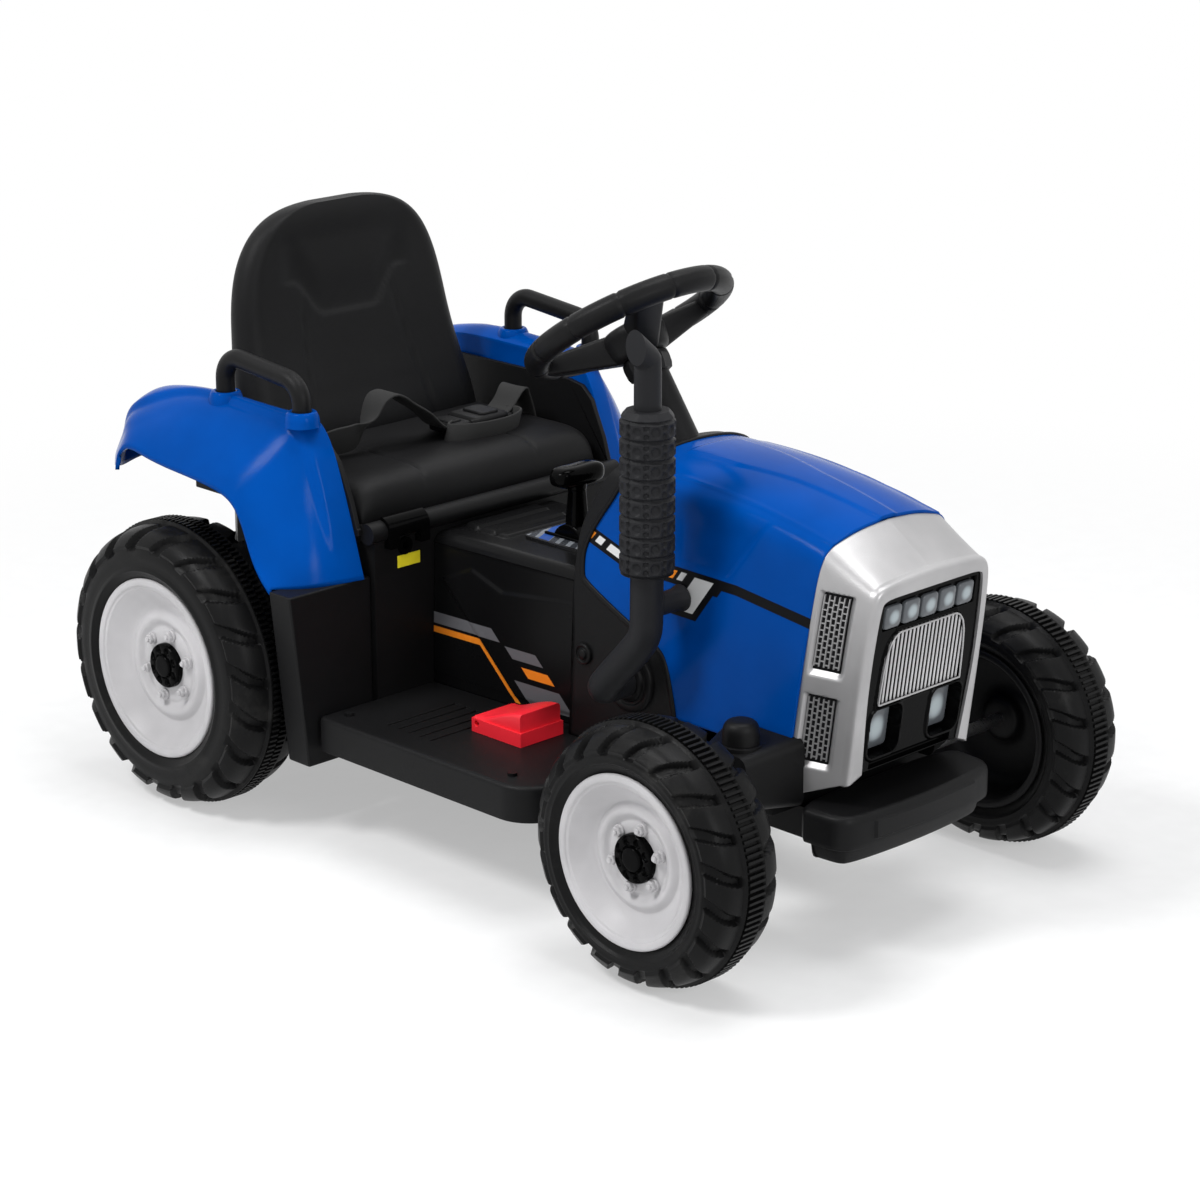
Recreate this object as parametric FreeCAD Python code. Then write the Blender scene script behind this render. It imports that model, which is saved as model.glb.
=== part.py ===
"""Ride-on toy tractor, every piece its own solid, in millimetres.

Frame: +X forward, +Y to the rider's left, +Z up, origin on the ground under the middle of the overall box.
"""
import FreeCAD, Part
import math
import os

V = FreeCAD.Vector
Y_AXIS = V(0, 1, 0)
Z_AXIS = V(0, 0, 1)

# Fits
GAP = 0.3
RUN_CLEAR = 0.05
WALL = 4.0

# Overall and running gear
HALF_LENGTH = 390.4
NOSE_OVERHANG = 106.4
AXLE_R = 5.0
REAR_TYRE_R = 124.4
REAR_TYRE_W = 82.0
REAR_RIM_R = 77.0
REAR_TRACK_HALF = 213.0
FRONT_TYRE_R = 104.1
FRONT_TYRE_W = 76.0
FRONT_RIM_R = 67.0
FRONT_TRACK_HALF = 206.0
REAR_AXLE_X = REAR_TYRE_R - HALF_LENGTH
FRONT_AXLE_X = HALF_LENGTH - NOSE_OVERHANG

# Tyre, rim and hub
TYRE_WALL = 5.0
LUG_HEIGHT = 5.0
LUG_COUNT = 20
LUG_WIDTH = 14.0
LUG_SLANT = 24.0
BEAD_INSET = 7.0
RIM_WALL = 4.0
DISH_DEPTH = 18.0
DISC_THICK = 4.0
HUB_R = 20.0
STUD_CIRCLE_R = 31.0
STUD_COUNT = 6
STUD_R = 4.5
CAP_R = 19.0
CAP_LENGTH = 15.0
CAP_WALL = 3.0
CAP_NOTCHES = 8
NUT_R = 8.5
NUT_THICK = 6.0

# Floor pan
FLOOR_Z = 80.0
DECK_Z = 110.0
SPINE_TOP_Z = 106.0
SPINE_HALF = 64.0
DECK_HALF = 203.0
DECK_FRONT_X = 145.0
DECK_CORNER_R = 34.0
TREAD_SLOTS = 5
TREAD_PITCH = 13.0
TREAD_FIRST_X = -52.0
TREAD_INNER_Y = 100.0
TREAD_OUTER_Y = 176.0

# Rear body
BODY_FRONT_X = -105.0
BODY_REAR_X = -365.0
BODY_HALF = 140.0
BODY_FLOOR_Z = 70.0
BODY_TOP_Z = 258.0
TRIM_SIDE_X = -286.0
TRIM_REAR_Y = 80.0
TRIM_FOOT_Z = 190.0
COLUMN_FRONT_X = -110.0
COLUMN_DEPTH = 27.0
COLUMN_FOOT_HALF = 212.0
COLUMN_HEAD_HALF = 228.0
COLUMN_TOP_Z = 217.0
LEDGE_R = 9.0
LEDGE_X = -109.0
LEDGE_DROP = 4.0
WING_INNER_Y = 145.0
WING_THICK = 4.5
WING_TOP_Z = 326.0

# Tunnel and gear lever
TUNNEL_REAR_HALF = 78.0
TUNNEL_FRONT_HALF = 70.0
TUNNEL_TOP_Z = 242.0
TUNNEL_WALL = 3.0
TUNNEL_EDGE_R = 12.0
LEVER_X = -8.0
LEVER_DRUM_R = 19.0
LEVER_DRUM_HALF = 11.0
LEVER_PIVOT_DROP = 5.0
LEVER_PIN_R = 4.0
LEVER_PIN_REACH = 6.0
LEVER_EAR_THICK = 6.0
LEVER_HEIGHT = 46.0
KNOB_HALF = 27.0
KNOB_DEPTH = 24.0
KNOB_HEIGHT = 19.0
GATE_THICK = 2.0
GATE_REAR = 36.0
GATE_FRONT = 34.0
GATE_HALF = 30.0

# Bonnet and cowl
HOOD_TOP_Z = 345.0
HOOD_CREST_X = 150.0
HOOD_FRONT_X = 335.0
HOOD_DROP = 24.0
HOOD_CROWN = 8.0
HOOD_EDGE_HALF = 62.0
HOOD_SIDE_HALF = 80.0
HOOD_SIDE_Z = 242.0
HOOD_SKIRT_HALF = 86.0
HOOD_SKIRT_Z = 153.0
HOOD_AXLE_GAP = 4.0
HOOD_WALL = 3.5
COWL_REAR_X = 69.0
COWL_FRONT_X = 210.0

# Grille mask: the seam with the bonnet and the front face both lean back
SEAM_FOOT_X = 302.5
SEAM_FOOT_Z = 119.0
SEAM_LEAN = 0.125
FACE_FOOT_X = 357.0
FACE_FOOT_Z = 140.0
FACE_LEAN = 0.1275
FACE_TOP_Z = 293.0
FACE_HALF = 69.0
FACE_CROWN = 2.0
MASK_WALL = 6.0
MASK_FRONT_WALL = 9.0
FASCIA_RECESS = 1.5
FASCIA_THICK = 6.0
LENS_THICK = 2.0
RIB_COUNT = 24
RIB_DEPTH = 1.6

# Bumper
BUMPER_REAR_X = 318.0
BUMPER_HALF = 104.0
BUMPER_TOP_Z = 119.0
BUMPER_FOOT_Z = 78.0

# Front axle and steering
BEAM_HALF_X = 18.0
BEAM_TOP_Z = 166.0
BEAM_HALF_Y = 96.0
KINGPIN_Y = 113.0
KINGPIN_R = 6.0
BOSS_R = 17.0
BOSS_FOOT_Z = 120.0
CAP_TOP_Z = 183.0
KINGPIN_CAP_R = 14.0
ARM_LENGTH = 45.0
ARM_THICK = 6.0
ARM_HALF = 8.0
TIE_PIN_R = 4.0
TIE_HALF = 7.0
TIE_THICK = 6.0
STEER_LOCK = 30.0
KNUCKLE_LOCK = 15.0
STEER_X = 52.3
STEER_Z = 435.6
STEER_TILT = 34.0
STEER_RING_R = 80.7
STEER_TUBE_R = 10.5
STEER_HUB_R = 25.0
STEER_HUB_DEPTH = 26.0
STEER_HUB_SINK = 6.0
SPOKE_HALF = 11.0
SPOKE_THICK = 10.0
SHAFT_R = 6.0
HORN_R = 16.0
HORN_PROUD = 4.0
HORN_TRAVEL = 2.0
SHROUD_TOP_R = 14.0
SHROUD_FOOT_R = 16.5
SHROUD_LENGTH = 115.0

# Exhaust stack, on the right
EXHAUST_Y = -117.5
EXHAUST_X = 188.0
EXHAUST_R = 13.5
EXHAUST_ELBOW_X = 136.0
EXHAUST_ELBOW_Z = 173.0
EXHAUST_KNEE_Z = 230.0
EXHAUST_KINK_Z = 450.0
EXHAUST_TIP_LEAN = 50.0
EXHAUST_TIP_RUN = 36.0
EXHAUST_TIP_OUT = 14.0
PEG_R = 9.0
PEG_Z = 252.0
SLEEVE_R = 21.5
SLEEVE_GROOVE = 2.5
SLEEVE_FOOT_Z = 282.0
SLEEVE_TOP_Z = 414.0
SLEEVE_RINGS = 8

# Fenders and grab handles
FENDER_TOP_Z = 349.0
FENDER_INNER_Y = 150.0
FENDER_WALL = 4.0
FENDER_SKIRT = 26.0
FENDER_SKIRT_THICK = 3.5
HANDLE_TUBE_R = 8.0
HANDLE_FOOT_Z = FENDER_TOP_Z + 3.5
HANDLE_REAR_RISE = 42.0
HANDLE_FRONT_RISE = 32.0
HANDLE_REAR_X = -261.0
HANDLE_FRONT_X = -161.0
HANDLE_Y = 167.0
HANDLE_BEND_R = 20.0
BOSS_RING_R = 11.0

# Seat and lap belt
SEAT_FRONT_X = -120.0
SEAT_REAR_X = -306.0
SEAT_HALF = 143.0
SEAT_WALL = 5.0
SEAT_TOP_Z = 293.0
BACK_TOP_Z = 489.0
BELT_WIDTH = 28.0
BELT_THICK = 1.6
BELT_X = -196.0
BELT_END_Y = 116.0
BUCKLE_Y = 62.0
BUCKLE_HALF = 20.0
BUCKLE_LENGTH = 44.0
TONGUE_LENGTH = 24.0
BUCKLE_THICK = 11.0

# Pedal
PEDAL_REAR_X = 8.0
PEDAL_FRONT_X = 66.0
PEDAL_Y = -113.0
PEDAL_HALF = 24.0
PEDAL_BASE_HEIGHT = 12.0
PEDAL_RISE = 26.0
PEDAL_PIN_R = 2.5
PEDAL_STROKE = 8.0
SPRING_R = 6.0
SPRING_WIRE = 1.2
SPRING_TURNS = 4

# Socket, drive and electrics
SOCKET_Y = -107.0
SOCKET_Z = 238.0
SOCKET_R = 6.0
SOCKET_FLANGE_R = 7.5
SOCKET_BORE_R = 3.5
SOCKET_BORE_LENGTH = 9.0
SOCKET_LENGTH = 24.0
LATCH_HALF = 22.0
LATCH_LUG = 10.0
LATCH_THICK = 3.0
GEARBOX_LENGTH = 78.0
GEARBOX_HEIGHT = 80.0
MOTOR_R = 18.0
MOTOR_LENGTH = 56.0
MOTOR_NOSE_R = 8.0
MOTOR_SETBACK = 26.0
BATTERY_SIZE = (66.0, 150.0, 95.0)
BATTERY_X = -228.0
CONTROLLER_SIZE = (26.0, 90.0, 60.0)
SCREW_R = 4.0
SCREW_HEAD = 2.5


def box(x0, x1, y0, y1, z0, z1):
    """Axis-aligned block between two corners."""
    return Part.makeBox(x1 - x0, y1 - y0, z1 - z0, V(x0, y0, z0))


def rod(start, end, radius):
    """Round bar from one point to another."""
    way = end - start
    return Part.makeCylinder(radius, way.Length, start, way)


def polygon_face(points):
    """Flat face inside a closed run of points."""
    return Part.Face(Part.makePolygon(list(points) + [points[0]]))


def prism(points_xz, y0, y1):
    """Side outline in X and Z, carried across from y0 to y1."""
    face = polygon_face([V(x, y0, z) for x, z in points_xz])
    return face.extrude(V(0, y1 - y0, 0))


def spline(points):
    """Smooth open edge through the points."""
    curve = Part.BSplineCurve()
    curve.interpolate(points)
    return curve.toShape()


def closed_wire(points):
    """Smooth edge through the points, closed by one straight edge."""
    return Part.Wire([spline(points), Part.makeLine(points[-1], points[0])])


def mirrored(shape):
    """The same piece on the other side of the tractor."""
    return shape.mirror(V(0, 0, 0), Y_AXIS)


def bent_path(points, bend):
    """Straight runs joined by tangent arcs of one radius."""
    edges = []
    start = points[0]
    for before, corner, after in zip(points, points[1:], points[2:]):
        into = (before - corner).normalize()
        out = (after - corner).normalize()
        half_turn = into.getAngle(out) / 2
        back = bend / math.tan(half_turn)
        middle = corner + (into + out).normalize() * (bend / math.sin(half_turn) - bend)
        edges.append(Part.makeLine(start, corner + into * back))
        edges.append(Part.Arc(corner + into * back, middle, corner + out * back).toShape())
        start = corner + out * back
    edges.append(Part.makeLine(start, points[-1]))
    return Part.Wire(edges)


def bent_tube(points, radius, bend):
    """Solid round bar along a bent path."""
    section = Part.Wire(Part.makeCircle(radius, points[0], points[1] - points[0]))
    return bent_path(points, bend).makePipeShell([section], True, False)


def save(node, *solids):
    """Write one named piece, or a group of like solids under one name."""
    whole = solids[0] if len(solids) == 1 else Part.makeCompound(list(solids))
    whole.exportStep(os.path.join("parts", node + ".step"))


# Wheels

def turned(centre, side, profile):
    """Revolve a closed wire of (radius, outward distance) points about the wheel's own axis."""
    edges = []
    for run in profile:
        points = [centre + V(r, side * along, 0) for r, along in run]
        edges.append(spline(points) if len(points) > 2 else Part.makeLine(points[0], points[1]))
    return Part.Face(Part.Wire(edges)).revolve(centre, Y_AXIS, 360)


def polyline(points):
    """Straight runs from point to point, closed."""
    return [[a, b] for a, b in zip(points, points[1:] + points[:1])]


def dish_face(width):
    """Distance of the rim's dished disc from the tyre's mid plane."""
    return width / 2 - BEAD_INSET - DISH_DEPTH


def make_tyre(centre, side, radius, width, rim_r):
    """Hollow moulded tyre, open to the rim, with slanted shoulder lugs."""
    half = width / 2
    bead = half - BEAD_INSET
    tread = radius - LUG_HEIGHT
    belly = rim_r + 0.42 * (tread - rim_r)
    outer = [(rim_r, bead), (belly, half), (tread - 8, half - 4), (tread, half - 17), (tread, 0)]
    outer += [(r, -a) for r, a in outer[-2::-1]]
    skin = TYRE_WALL
    inner = [(rim_r, bead - skin), (belly, half - skin), (tread - 8 - skin, half - 4 - skin)]
    inner += [(tread - skin, half - 17 - skin / 2), (tread - skin, 0)]
    inner += [(r, -a) for r, a in inner[-2::-1]]
    profile = [outer, [outer[-1], inner[-1]], inner[::-1], [inner[0], outer[0]]]
    carcass = turned(centre, side, profile)
    lug_outline = [(tread - 2, 9), (radius, 11), (radius, half - 15), (radius - 8, half - 4)]
    lug_outline += [(tread - 26, half + 0.5), (tread - 26, half - 3), (tread - 9, half - 7),
                    (tread - 2, half - 18)]
    lugs = []
    for hand in (1, -1):
        points = [centre + V(r, hand * a, -LUG_WIDTH / 2) for r, a in lug_outline]
        lug = polygon_face(points).extrude(V(0, 0, LUG_WIDTH))
        lug.rotate(centre + V(0, hand * half * 0.6, 0), V(1, 0, 0), hand * LUG_SLANT)
        pitch = 360 / LUG_COUNT
        for i in range(LUG_COUNT):
            copy = lug.copy()
            copy.rotate(centre, Y_AXIS, (i + 0.25 * (hand + 1)) * pitch)
            lugs.append(copy)
    blank = Part.makeCylinder(radius, width, centre - V(0, half, 0), Y_AXIS)
    return carcass.multiFuse(lugs).common(blank).removeSplitter()


def make_rim(centre, side, width, rim_r):
    """Dished rim with hub, raised ring and moulded wheel nuts."""
    half = width / 2
    bead = half - BEAD_INSET
    face = dish_face(width)
    bore = AXLE_R + RUN_CLEAR
    seat = rim_r - GAP / 2
    drop = rim_r - RIM_WALL
    points = [(bore, -half + 2), (HUB_R, -half + 2), (HUB_R, face - DISC_THICK), (drop, face - DISC_THICK)]
    points += [(drop, -bead), (seat, -bead), (seat, bead + 2), (drop - 1, bead + 2), (drop - 4, face + 7)]
    points += [(drop - 12, face), (48, face), (46, face + 4), (42, face + 4), (40, face), (bore, face)]
    rim = turned(centre, side, polyline(points))
    nuts = []
    for i in range(STUD_COUNT):
        angle = 2 * math.pi * i / STUD_COUNT
        foot = centre + V(STUD_CIRCLE_R * math.cos(angle), side * (face - 1), STUD_CIRCLE_R * math.sin(angle))
        nuts.append(rod(foot, foot + V(0, side * 6, 0), STUD_R))
    return rim.multiFuse(nuts)


def make_hub_cap(centre, side, width):
    """Notched cup over the axle nut."""
    foot = centre + V(0, side * dish_face(width), 0)
    out = V(0, side, 0)
    cap = rod(foot, foot + out * CAP_LENGTH, CAP_R)
    cap = cap.cut(rod(foot - out, foot + out * (CAP_LENGTH - CAP_WALL), CAP_R - CAP_WALL))
    notch = box(-2.5, 2.5, -CAP_LENGTH, CAP_LENGTH, CAP_R - 1.8, CAP_R + 1)
    notch.translate(foot + out * (CAP_LENGTH + 3))
    for i in range(CAP_NOTCHES):
        turn = notch.copy()
        turn.rotate(foot, Y_AXIS, 360 * i / CAP_NOTCHES)
        cap = cap.cut(turn)
    return cap


def axle_nut(centre, side, width):
    """Nut on the axle's end, inside the hub cap."""
    foot = centre + V(0, side * (dish_face(width) + 1), 0)
    nut = rod(foot, foot + V(0, side * NUT_THICK, 0), NUT_R)
    return nut.cut(rod(foot - V(0, side, 0), foot + V(0, side * 2 * NUT_THICK, 0), AXLE_R + RUN_CLEAR))


def axle_end(width):
    """How far the axle reaches past the wheel's mid plane."""
    return dish_face(width) + 1 + NUT_THICK + 1


def make_wheels():
    ends = {"rear": (REAR_AXLE_X, REAR_TYRE_R, REAR_TYRE_W, REAR_RIM_R, REAR_TRACK_HALF),
            "front": (FRONT_AXLE_X, FRONT_TYRE_R, FRONT_TYRE_W, FRONT_RIM_R, FRONT_TRACK_HALF)}
    for end, (x, radius, width, rim_r, track) in ends.items():
        for name, side in (("left", 1), ("right", -1)):
            centre = V(x, side * track, radius)
            save(f"{end}_tyre_{name}", make_tyre(centre, side, radius, width, rim_r))
            save(f"{end}_rim_{name}", make_rim(centre, side, width, rim_r))
            save(f"{end}_hub_cap_{name}", make_hub_cap(centre, side, width))


# Chassis

def make_floor_pan():
    """Two footboards with skirts on one central spine that runs forward to the bumper."""
    deck = box(BODY_FRONT_X, DECK_FRONT_X, -DECK_HALF, DECK_HALF, FLOOR_Z, DECK_Z)
    corners = [e for e in deck.Edges
               if abs(e.CenterOfMass.x - DECK_FRONT_X) < 1e-6
               and abs(abs(e.CenterOfMass.y) - DECK_HALF) < 1e-6]
    deck = deck.makeFillet(DECK_CORNER_R, corners)
    rims = [e for e in deck.Edges
            if abs(e.CenterOfMass.z - DECK_Z) < 1e-6 and e.CenterOfMass.x > BODY_FRONT_X + 1]
    deck = deck.makeFillet(WALL, rims)
    for side in (1, -1):
        inner = SPINE_HALF
        outer = DECK_HALF - WALL
        y0, y1 = sorted((side * inner, side * outer))
        well = box(BODY_FRONT_X + WALL, DECK_FRONT_X - WALL, y0, y1, FLOOR_Z - 1, DECK_Z - WALL)
        nose = [e for e in well.Edges if abs(e.CenterOfMass.x - DECK_FRONT_X + WALL) < 1e-6
                and abs(abs(e.CenterOfMass.y) - outer) < 1e-6]
        deck = deck.cut(well.makeFillet(DECK_CORNER_R - WALL, nose))
        for i in range(TREAD_SLOTS):
            x = TREAD_FIRST_X + i * TREAD_PITCH
            y0, y1 = sorted((side * TREAD_INNER_Y, side * TREAD_OUTER_Y))
            deck = deck.cut(box(x, x + TREAD_PITCH / 2, y0, y1, DECK_Z - 1.5, DECK_Z + 1))
    spine = box(DECK_FRONT_X - WALL, BUMPER_REAR_X, -SPINE_HALF, SPINE_HALF, FLOOR_Z, SPINE_TOP_Z)
    core = box(BODY_FRONT_X + WALL, BUMPER_REAR_X - WALL, WALL - SPINE_HALF, SPINE_HALF - WALL,
               FLOOR_Z - 1, SPINE_TOP_Z - WALL)
    return deck.fuse(spine).cut(core)


def wing_outline():
    """Side wing beside the seat: a flat top with a rounded front shoulder."""
    rear = BODY_REAR_X + 35
    front = COLUMN_FRONT_X - 4
    corner = [(front - 52, WING_TOP_Z), (front - 36, WING_TOP_Z - 3), (front - 24, WING_TOP_Z - 14)]
    return [(rear, BODY_TOP_Z - 6), (rear, WING_TOP_Z)] + corner + [(front - 9, WING_TOP_Z - 46),
                                                                    (front, BODY_TOP_Z - 6)]


def motor_axis():
    """Height and place of the motors, behind the axle."""
    return REAR_AXLE_X - MOTOR_SETBACK, REAR_TYRE_R


def trimmed_corner(side, wall):
    """Wedge off the tub's upper rear corner, grown inwards by a wall for the hollow."""
    along, across = TRIM_SIDE_X - BODY_REAR_X, BODY_HALF - TRIM_REAR_Y
    slant = math.hypot(along, across)
    start = (TRIM_SIDE_X + wall * slant / across, BODY_HALF)
    end = (BODY_REAR_X, TRIM_REAR_Y - wall * slant / along)
    past_x, past_y = BODY_REAR_X - WALL, BODY_HALF + WALL
    plan = [start, end, (past_x, end[1]), (past_x, past_y), (start[0], past_y)]
    face = polygon_face([V(x, side * y, TRIM_FOOT_Z - wall) for x, y in plan])
    return face.extrude(V(0, 0, BODY_TOP_Z + WALL - TRIM_FOOT_Z + wall))


def make_rear_body():
    """Seat box, open on top under the seat, with its upper rear corners trimmed off."""
    tub = box(BODY_REAR_X, BODY_FRONT_X, -BODY_HALF, BODY_HALF, BODY_FLOOR_Z, BODY_TOP_Z)
    hollow = box(BODY_REAR_X + WALL, BODY_FRONT_X - WALL, WALL - BODY_HALF, BODY_HALF - WALL,
                 BODY_FLOOR_Z + WALL, BODY_TOP_Z - WALL)
    mouth = box(SEAT_REAR_X + WALL, SEAT_FRONT_X - WALL, WALL - BODY_HALF, BODY_HALF - WALL,
                BODY_TOP_Z - 2 * WALL, BODY_TOP_Z + 1)
    room = hollow.fuse(mouth)
    for side in (1, -1):
        tub = tub.cut(trimmed_corner(side, 0))
        room = room.cut(trimmed_corner(side, WALL))
    body = tub.fuse(ledge_bar(0)).cut(room)
    motor_x, motor_z = motor_axis()
    body = body.cut(rod(V(REAR_AXLE_X, -BODY_HALF * 2, REAR_TYRE_R),
                        V(REAR_AXLE_X, BODY_HALF * 2, REAR_TYRE_R),
                        AXLE_R + RUN_CLEAR))
    body = body.cut(rod(V(motor_x, -BODY_HALF * 2, motor_z), V(motor_x, BODY_HALF * 2, motor_z),
                        MOTOR_NOSE_R + GAP))
    socket = V(BODY_FRONT_X, SOCKET_Y, SOCKET_Z)
    return body.cut(rod(socket - V(2 * WALL, 0, 0), socket + V(WALL, 0, 0), SOCKET_R + GAP)).removeSplitter()


def column_block(side, inset, x0, x1):
    """Block of a wheel column between two stations along X, drawn in on all sides."""
    inner = BODY_HALF + GAP + inset
    foot, head = BODY_FLOOR_Z - 4 + inset, COLUMN_TOP_Z - inset
    ring = [(inner, foot), (COLUMN_FOOT_HALF - inset, foot), (COLUMN_HEAD_HALF - inset, head), (inner, head)]
    return polygon_face([V(x0, side * y, z) for y, z in ring]).extrude(V(x1 - x0, 0, 0))


def make_column(side):
    """Column in front of a rear wheel, open towards the wheel."""
    rear = COLUMN_FRONT_X - COLUMN_DEPTH
    room = column_block(side, WALL, rear - 1, COLUMN_FRONT_X - WALL)
    return column_block(side, 0, rear, COLUMN_FRONT_X).cut(room)


def make_wing(side):
    """Wing beside the seat, with a flange along its foot against the tub."""
    inner, outer = side * WING_INNER_Y, side * (WING_INNER_Y + WING_THICK)
    y0, y1 = sorted((side * (BODY_HALF + GAP), outer))
    flange = box(BODY_REAR_X + 35, COLUMN_FRONT_X - 4, y0, y1, BODY_TOP_Z - 6, BODY_TOP_Z)
    wing = prism(wing_outline(), inner, outer).fuse(flange)
    return wing.cut(ledge_bar(GAP)).removeSplitter()


def make_drive():
    """Rear axle, its nuts, and one gearbox with its motor on each side."""
    reach = REAR_TRACK_HALF + axle_end(REAR_TYRE_W)
    axle = rod(V(REAR_AXLE_X, -reach, REAR_TYRE_R), V(REAR_AXLE_X, reach, REAR_TYRE_R), AXLE_R)
    nuts = [axle_nut(V(REAR_AXLE_X, side * REAR_TRACK_HALF, REAR_TYRE_R), side, REAR_TYRE_W)
            for side in (1, -1)]
    save("rear_axle", axle, *nuts)
    motor_x, motor_z = motor_axis()
    hub_end = REAR_TRACK_HALF - REAR_TYRE_W / 2 + 2
    cases, motors = [], []
    for side in (1, -1):
        y0, y1 = sorted((side * BODY_HALF, side * (hub_end - GAP)))
        case = box(motor_x - GEARBOX_LENGTH / 3, motor_x + GEARBOX_LENGTH * 2 / 3, y0, y1,
                   motor_z - GEARBOX_HEIGHT / 2, motor_z + GEARBOX_HEIGHT / 2)
        case = case.makeFillet(6, [e for e in case.Edges if abs(e.tangentAt(e.FirstParameter).y) > 0.9])
        case = case.cut(rod(V(REAR_AXLE_X, y0 - 1, REAR_TYRE_R), V(REAR_AXLE_X, y1 + 1, REAR_TYRE_R),
                            AXLE_R + RUN_CLEAR))
        wall_in = BODY_HALF - WALL
        can = rod(V(motor_x, side * wall_in, motor_z), V(motor_x, side * (wall_in - MOTOR_LENGTH), motor_z),
                  MOTOR_R)
        nose = rod(V(motor_x, side * wall_in, motor_z), V(motor_x, side * BODY_HALF, motor_z), MOTOR_NOSE_R)
        cases.append(case)
        motors.append(can.fuse(nose))
    save("gearboxes", *cases)
    save("drive_motors", *motors)


def make_electrics():
    """Battery and controller on the tub floor, charging socket in its front wall."""
    floor = BODY_FLOOR_Z + WALL
    length, width, height = BATTERY_SIZE
    battery = box(BATTERY_X, BATTERY_X + length, -width / 2, width / 2, floor, floor + height)
    terminals = [box(BATTERY_X + length / 3, BATTERY_X + length / 3 + 8, y, y + 10, floor + height,
                     floor + height + 5)
                 for y in (-50, 40)]
    save("battery", battery.multiFuse(terminals))
    length, width, height = CONTROLLER_SIZE
    rear = BODY_REAR_X + WALL
    save("controller", box(rear, rear + length, -width / 2, width / 2, floor, floor + height))
    mouth = V(BODY_FRONT_X, SOCKET_Y, SOCKET_Z)
    into = V(-1, 0, 0)
    socket = rod(mouth - into * 2, mouth + into * SOCKET_LENGTH, SOCKET_R)
    socket = socket.fuse(rod(mouth, mouth - into * 2, SOCKET_FLANGE_R))
    socket = socket.cut(rod(mouth - into * 3, mouth + into * (SOCKET_BORE_LENGTH - 2), SOCKET_BORE_R))
    save("charging_socket", socket.cut(rod(mouth, mouth + into * (SOCKET_LENGTH - 4), SOCKET_BORE_R * 0.6)))
    save("seat_latch", make_latch())


def ledge_bar(grow):
    """Round bar along the front edge of the tub, grown for pieces that sit around it."""
    z = BODY_TOP_Z - LEDGE_DROP
    return rod(V(LEDGE_X, -WING_INNER_Y, z), V(LEDGE_X, WING_INNER_Y, z), LEDGE_R + grow)


def make_latch():
    """Saddle over the ledge bar, with a lug at each end against the tub's front wall."""
    y0, y1 = SOCKET_Y - LATCH_HALF, SOCKET_Y + LATCH_HALF
    bar_z = BODY_TOP_Z - LEDGE_DROP
    reach = LEDGE_R + LATCH_THICK
    block = box(LEDGE_X, LEDGE_X + reach, y0, y1, bar_z - LEDGE_R / 2, bar_z + reach)
    saddle = ledge_bar(LATCH_THICK).common(block)
    low = bar_z - LEDGE_R - LATCH_LUG / 2
    lugs = [box(BODY_FRONT_X, LEDGE_X + reach, y, y + LATCH_LUG, low, bar_z) for y in (y0, y1 - LATCH_LUG)]
    latch = saddle.multiFuse(lugs).cut(ledge_bar(GAP))
    return latch.cut(box(BODY_REAR_X, BODY_FRONT_X, -BODY_HALF, BODY_HALF, BODY_FLOOR_Z, BODY_TOP_Z))


# Tunnel and gear lever

def lever_pivot():
    return V(LEVER_X, 0, TUNNEL_TOP_Z - LEVER_PIVOT_DROP)


def lever_slot(clear):
    """Space that the lever's drum turns in."""
    half_x = LEVER_DRUM_R + clear
    half_y = LEVER_DRUM_HALF + clear
    return box(LEVER_X - half_x, LEVER_X + half_x, -half_y, half_y, TUNNEL_TOP_Z - 40, TUNNEL_TOP_Z + 40)


def make_tunnel_cover():
    """Tapered hump between the legs, open underneath, with the lever's slot and pivot ears."""
    def hump(inset, x0, x1, z0):
        wires = []
        for x, half in ((x0, TUNNEL_REAR_HALF - inset), (x1, TUNNEL_FRONT_HALF - inset)):
            top = TUNNEL_TOP_Z - inset
            edge = TUNNEL_EDGE_R
            points = [(-half, z0), (-half + 3, top - edge), (-half + 3 + edge, top)]
            points += [(-y, z) for y, z in points[::-1]]
            wires.append(Part.makePolygon([V(x, y, z) for y, z in points + points[:1]]))
        return Part.makeLoft(wires, True, True)
    cover = hump(0, BODY_FRONT_X, COWL_REAR_X, DECK_Z)
    cover = cover.cut(hump(TUNNEL_WALL, BODY_FRONT_X - 1, COWL_REAR_X + 1, DECK_Z - 1))
    pivot = lever_pivot()
    ears = []
    for side in (1, -1):
        y0, y1 = sorted((side * (LEVER_DRUM_HALF + GAP), side * (LEVER_DRUM_HALF + GAP + LEVER_EAR_THICK)))
        ears.append(box(LEVER_X - 10, LEVER_X + 10, y0, y1, pivot.z - 12, TUNNEL_TOP_Z - 1))
    cover = cover.multiFuse(ears).cut(lever_slot(GAP))
    reach = LEVER_DRUM_HALF + LEVER_EAR_THICK * 2
    return cover.cut(rod(pivot - V(0, reach, 0), pivot + V(0, reach, 0), LEVER_PIN_R + RUN_CLEAR))


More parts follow.
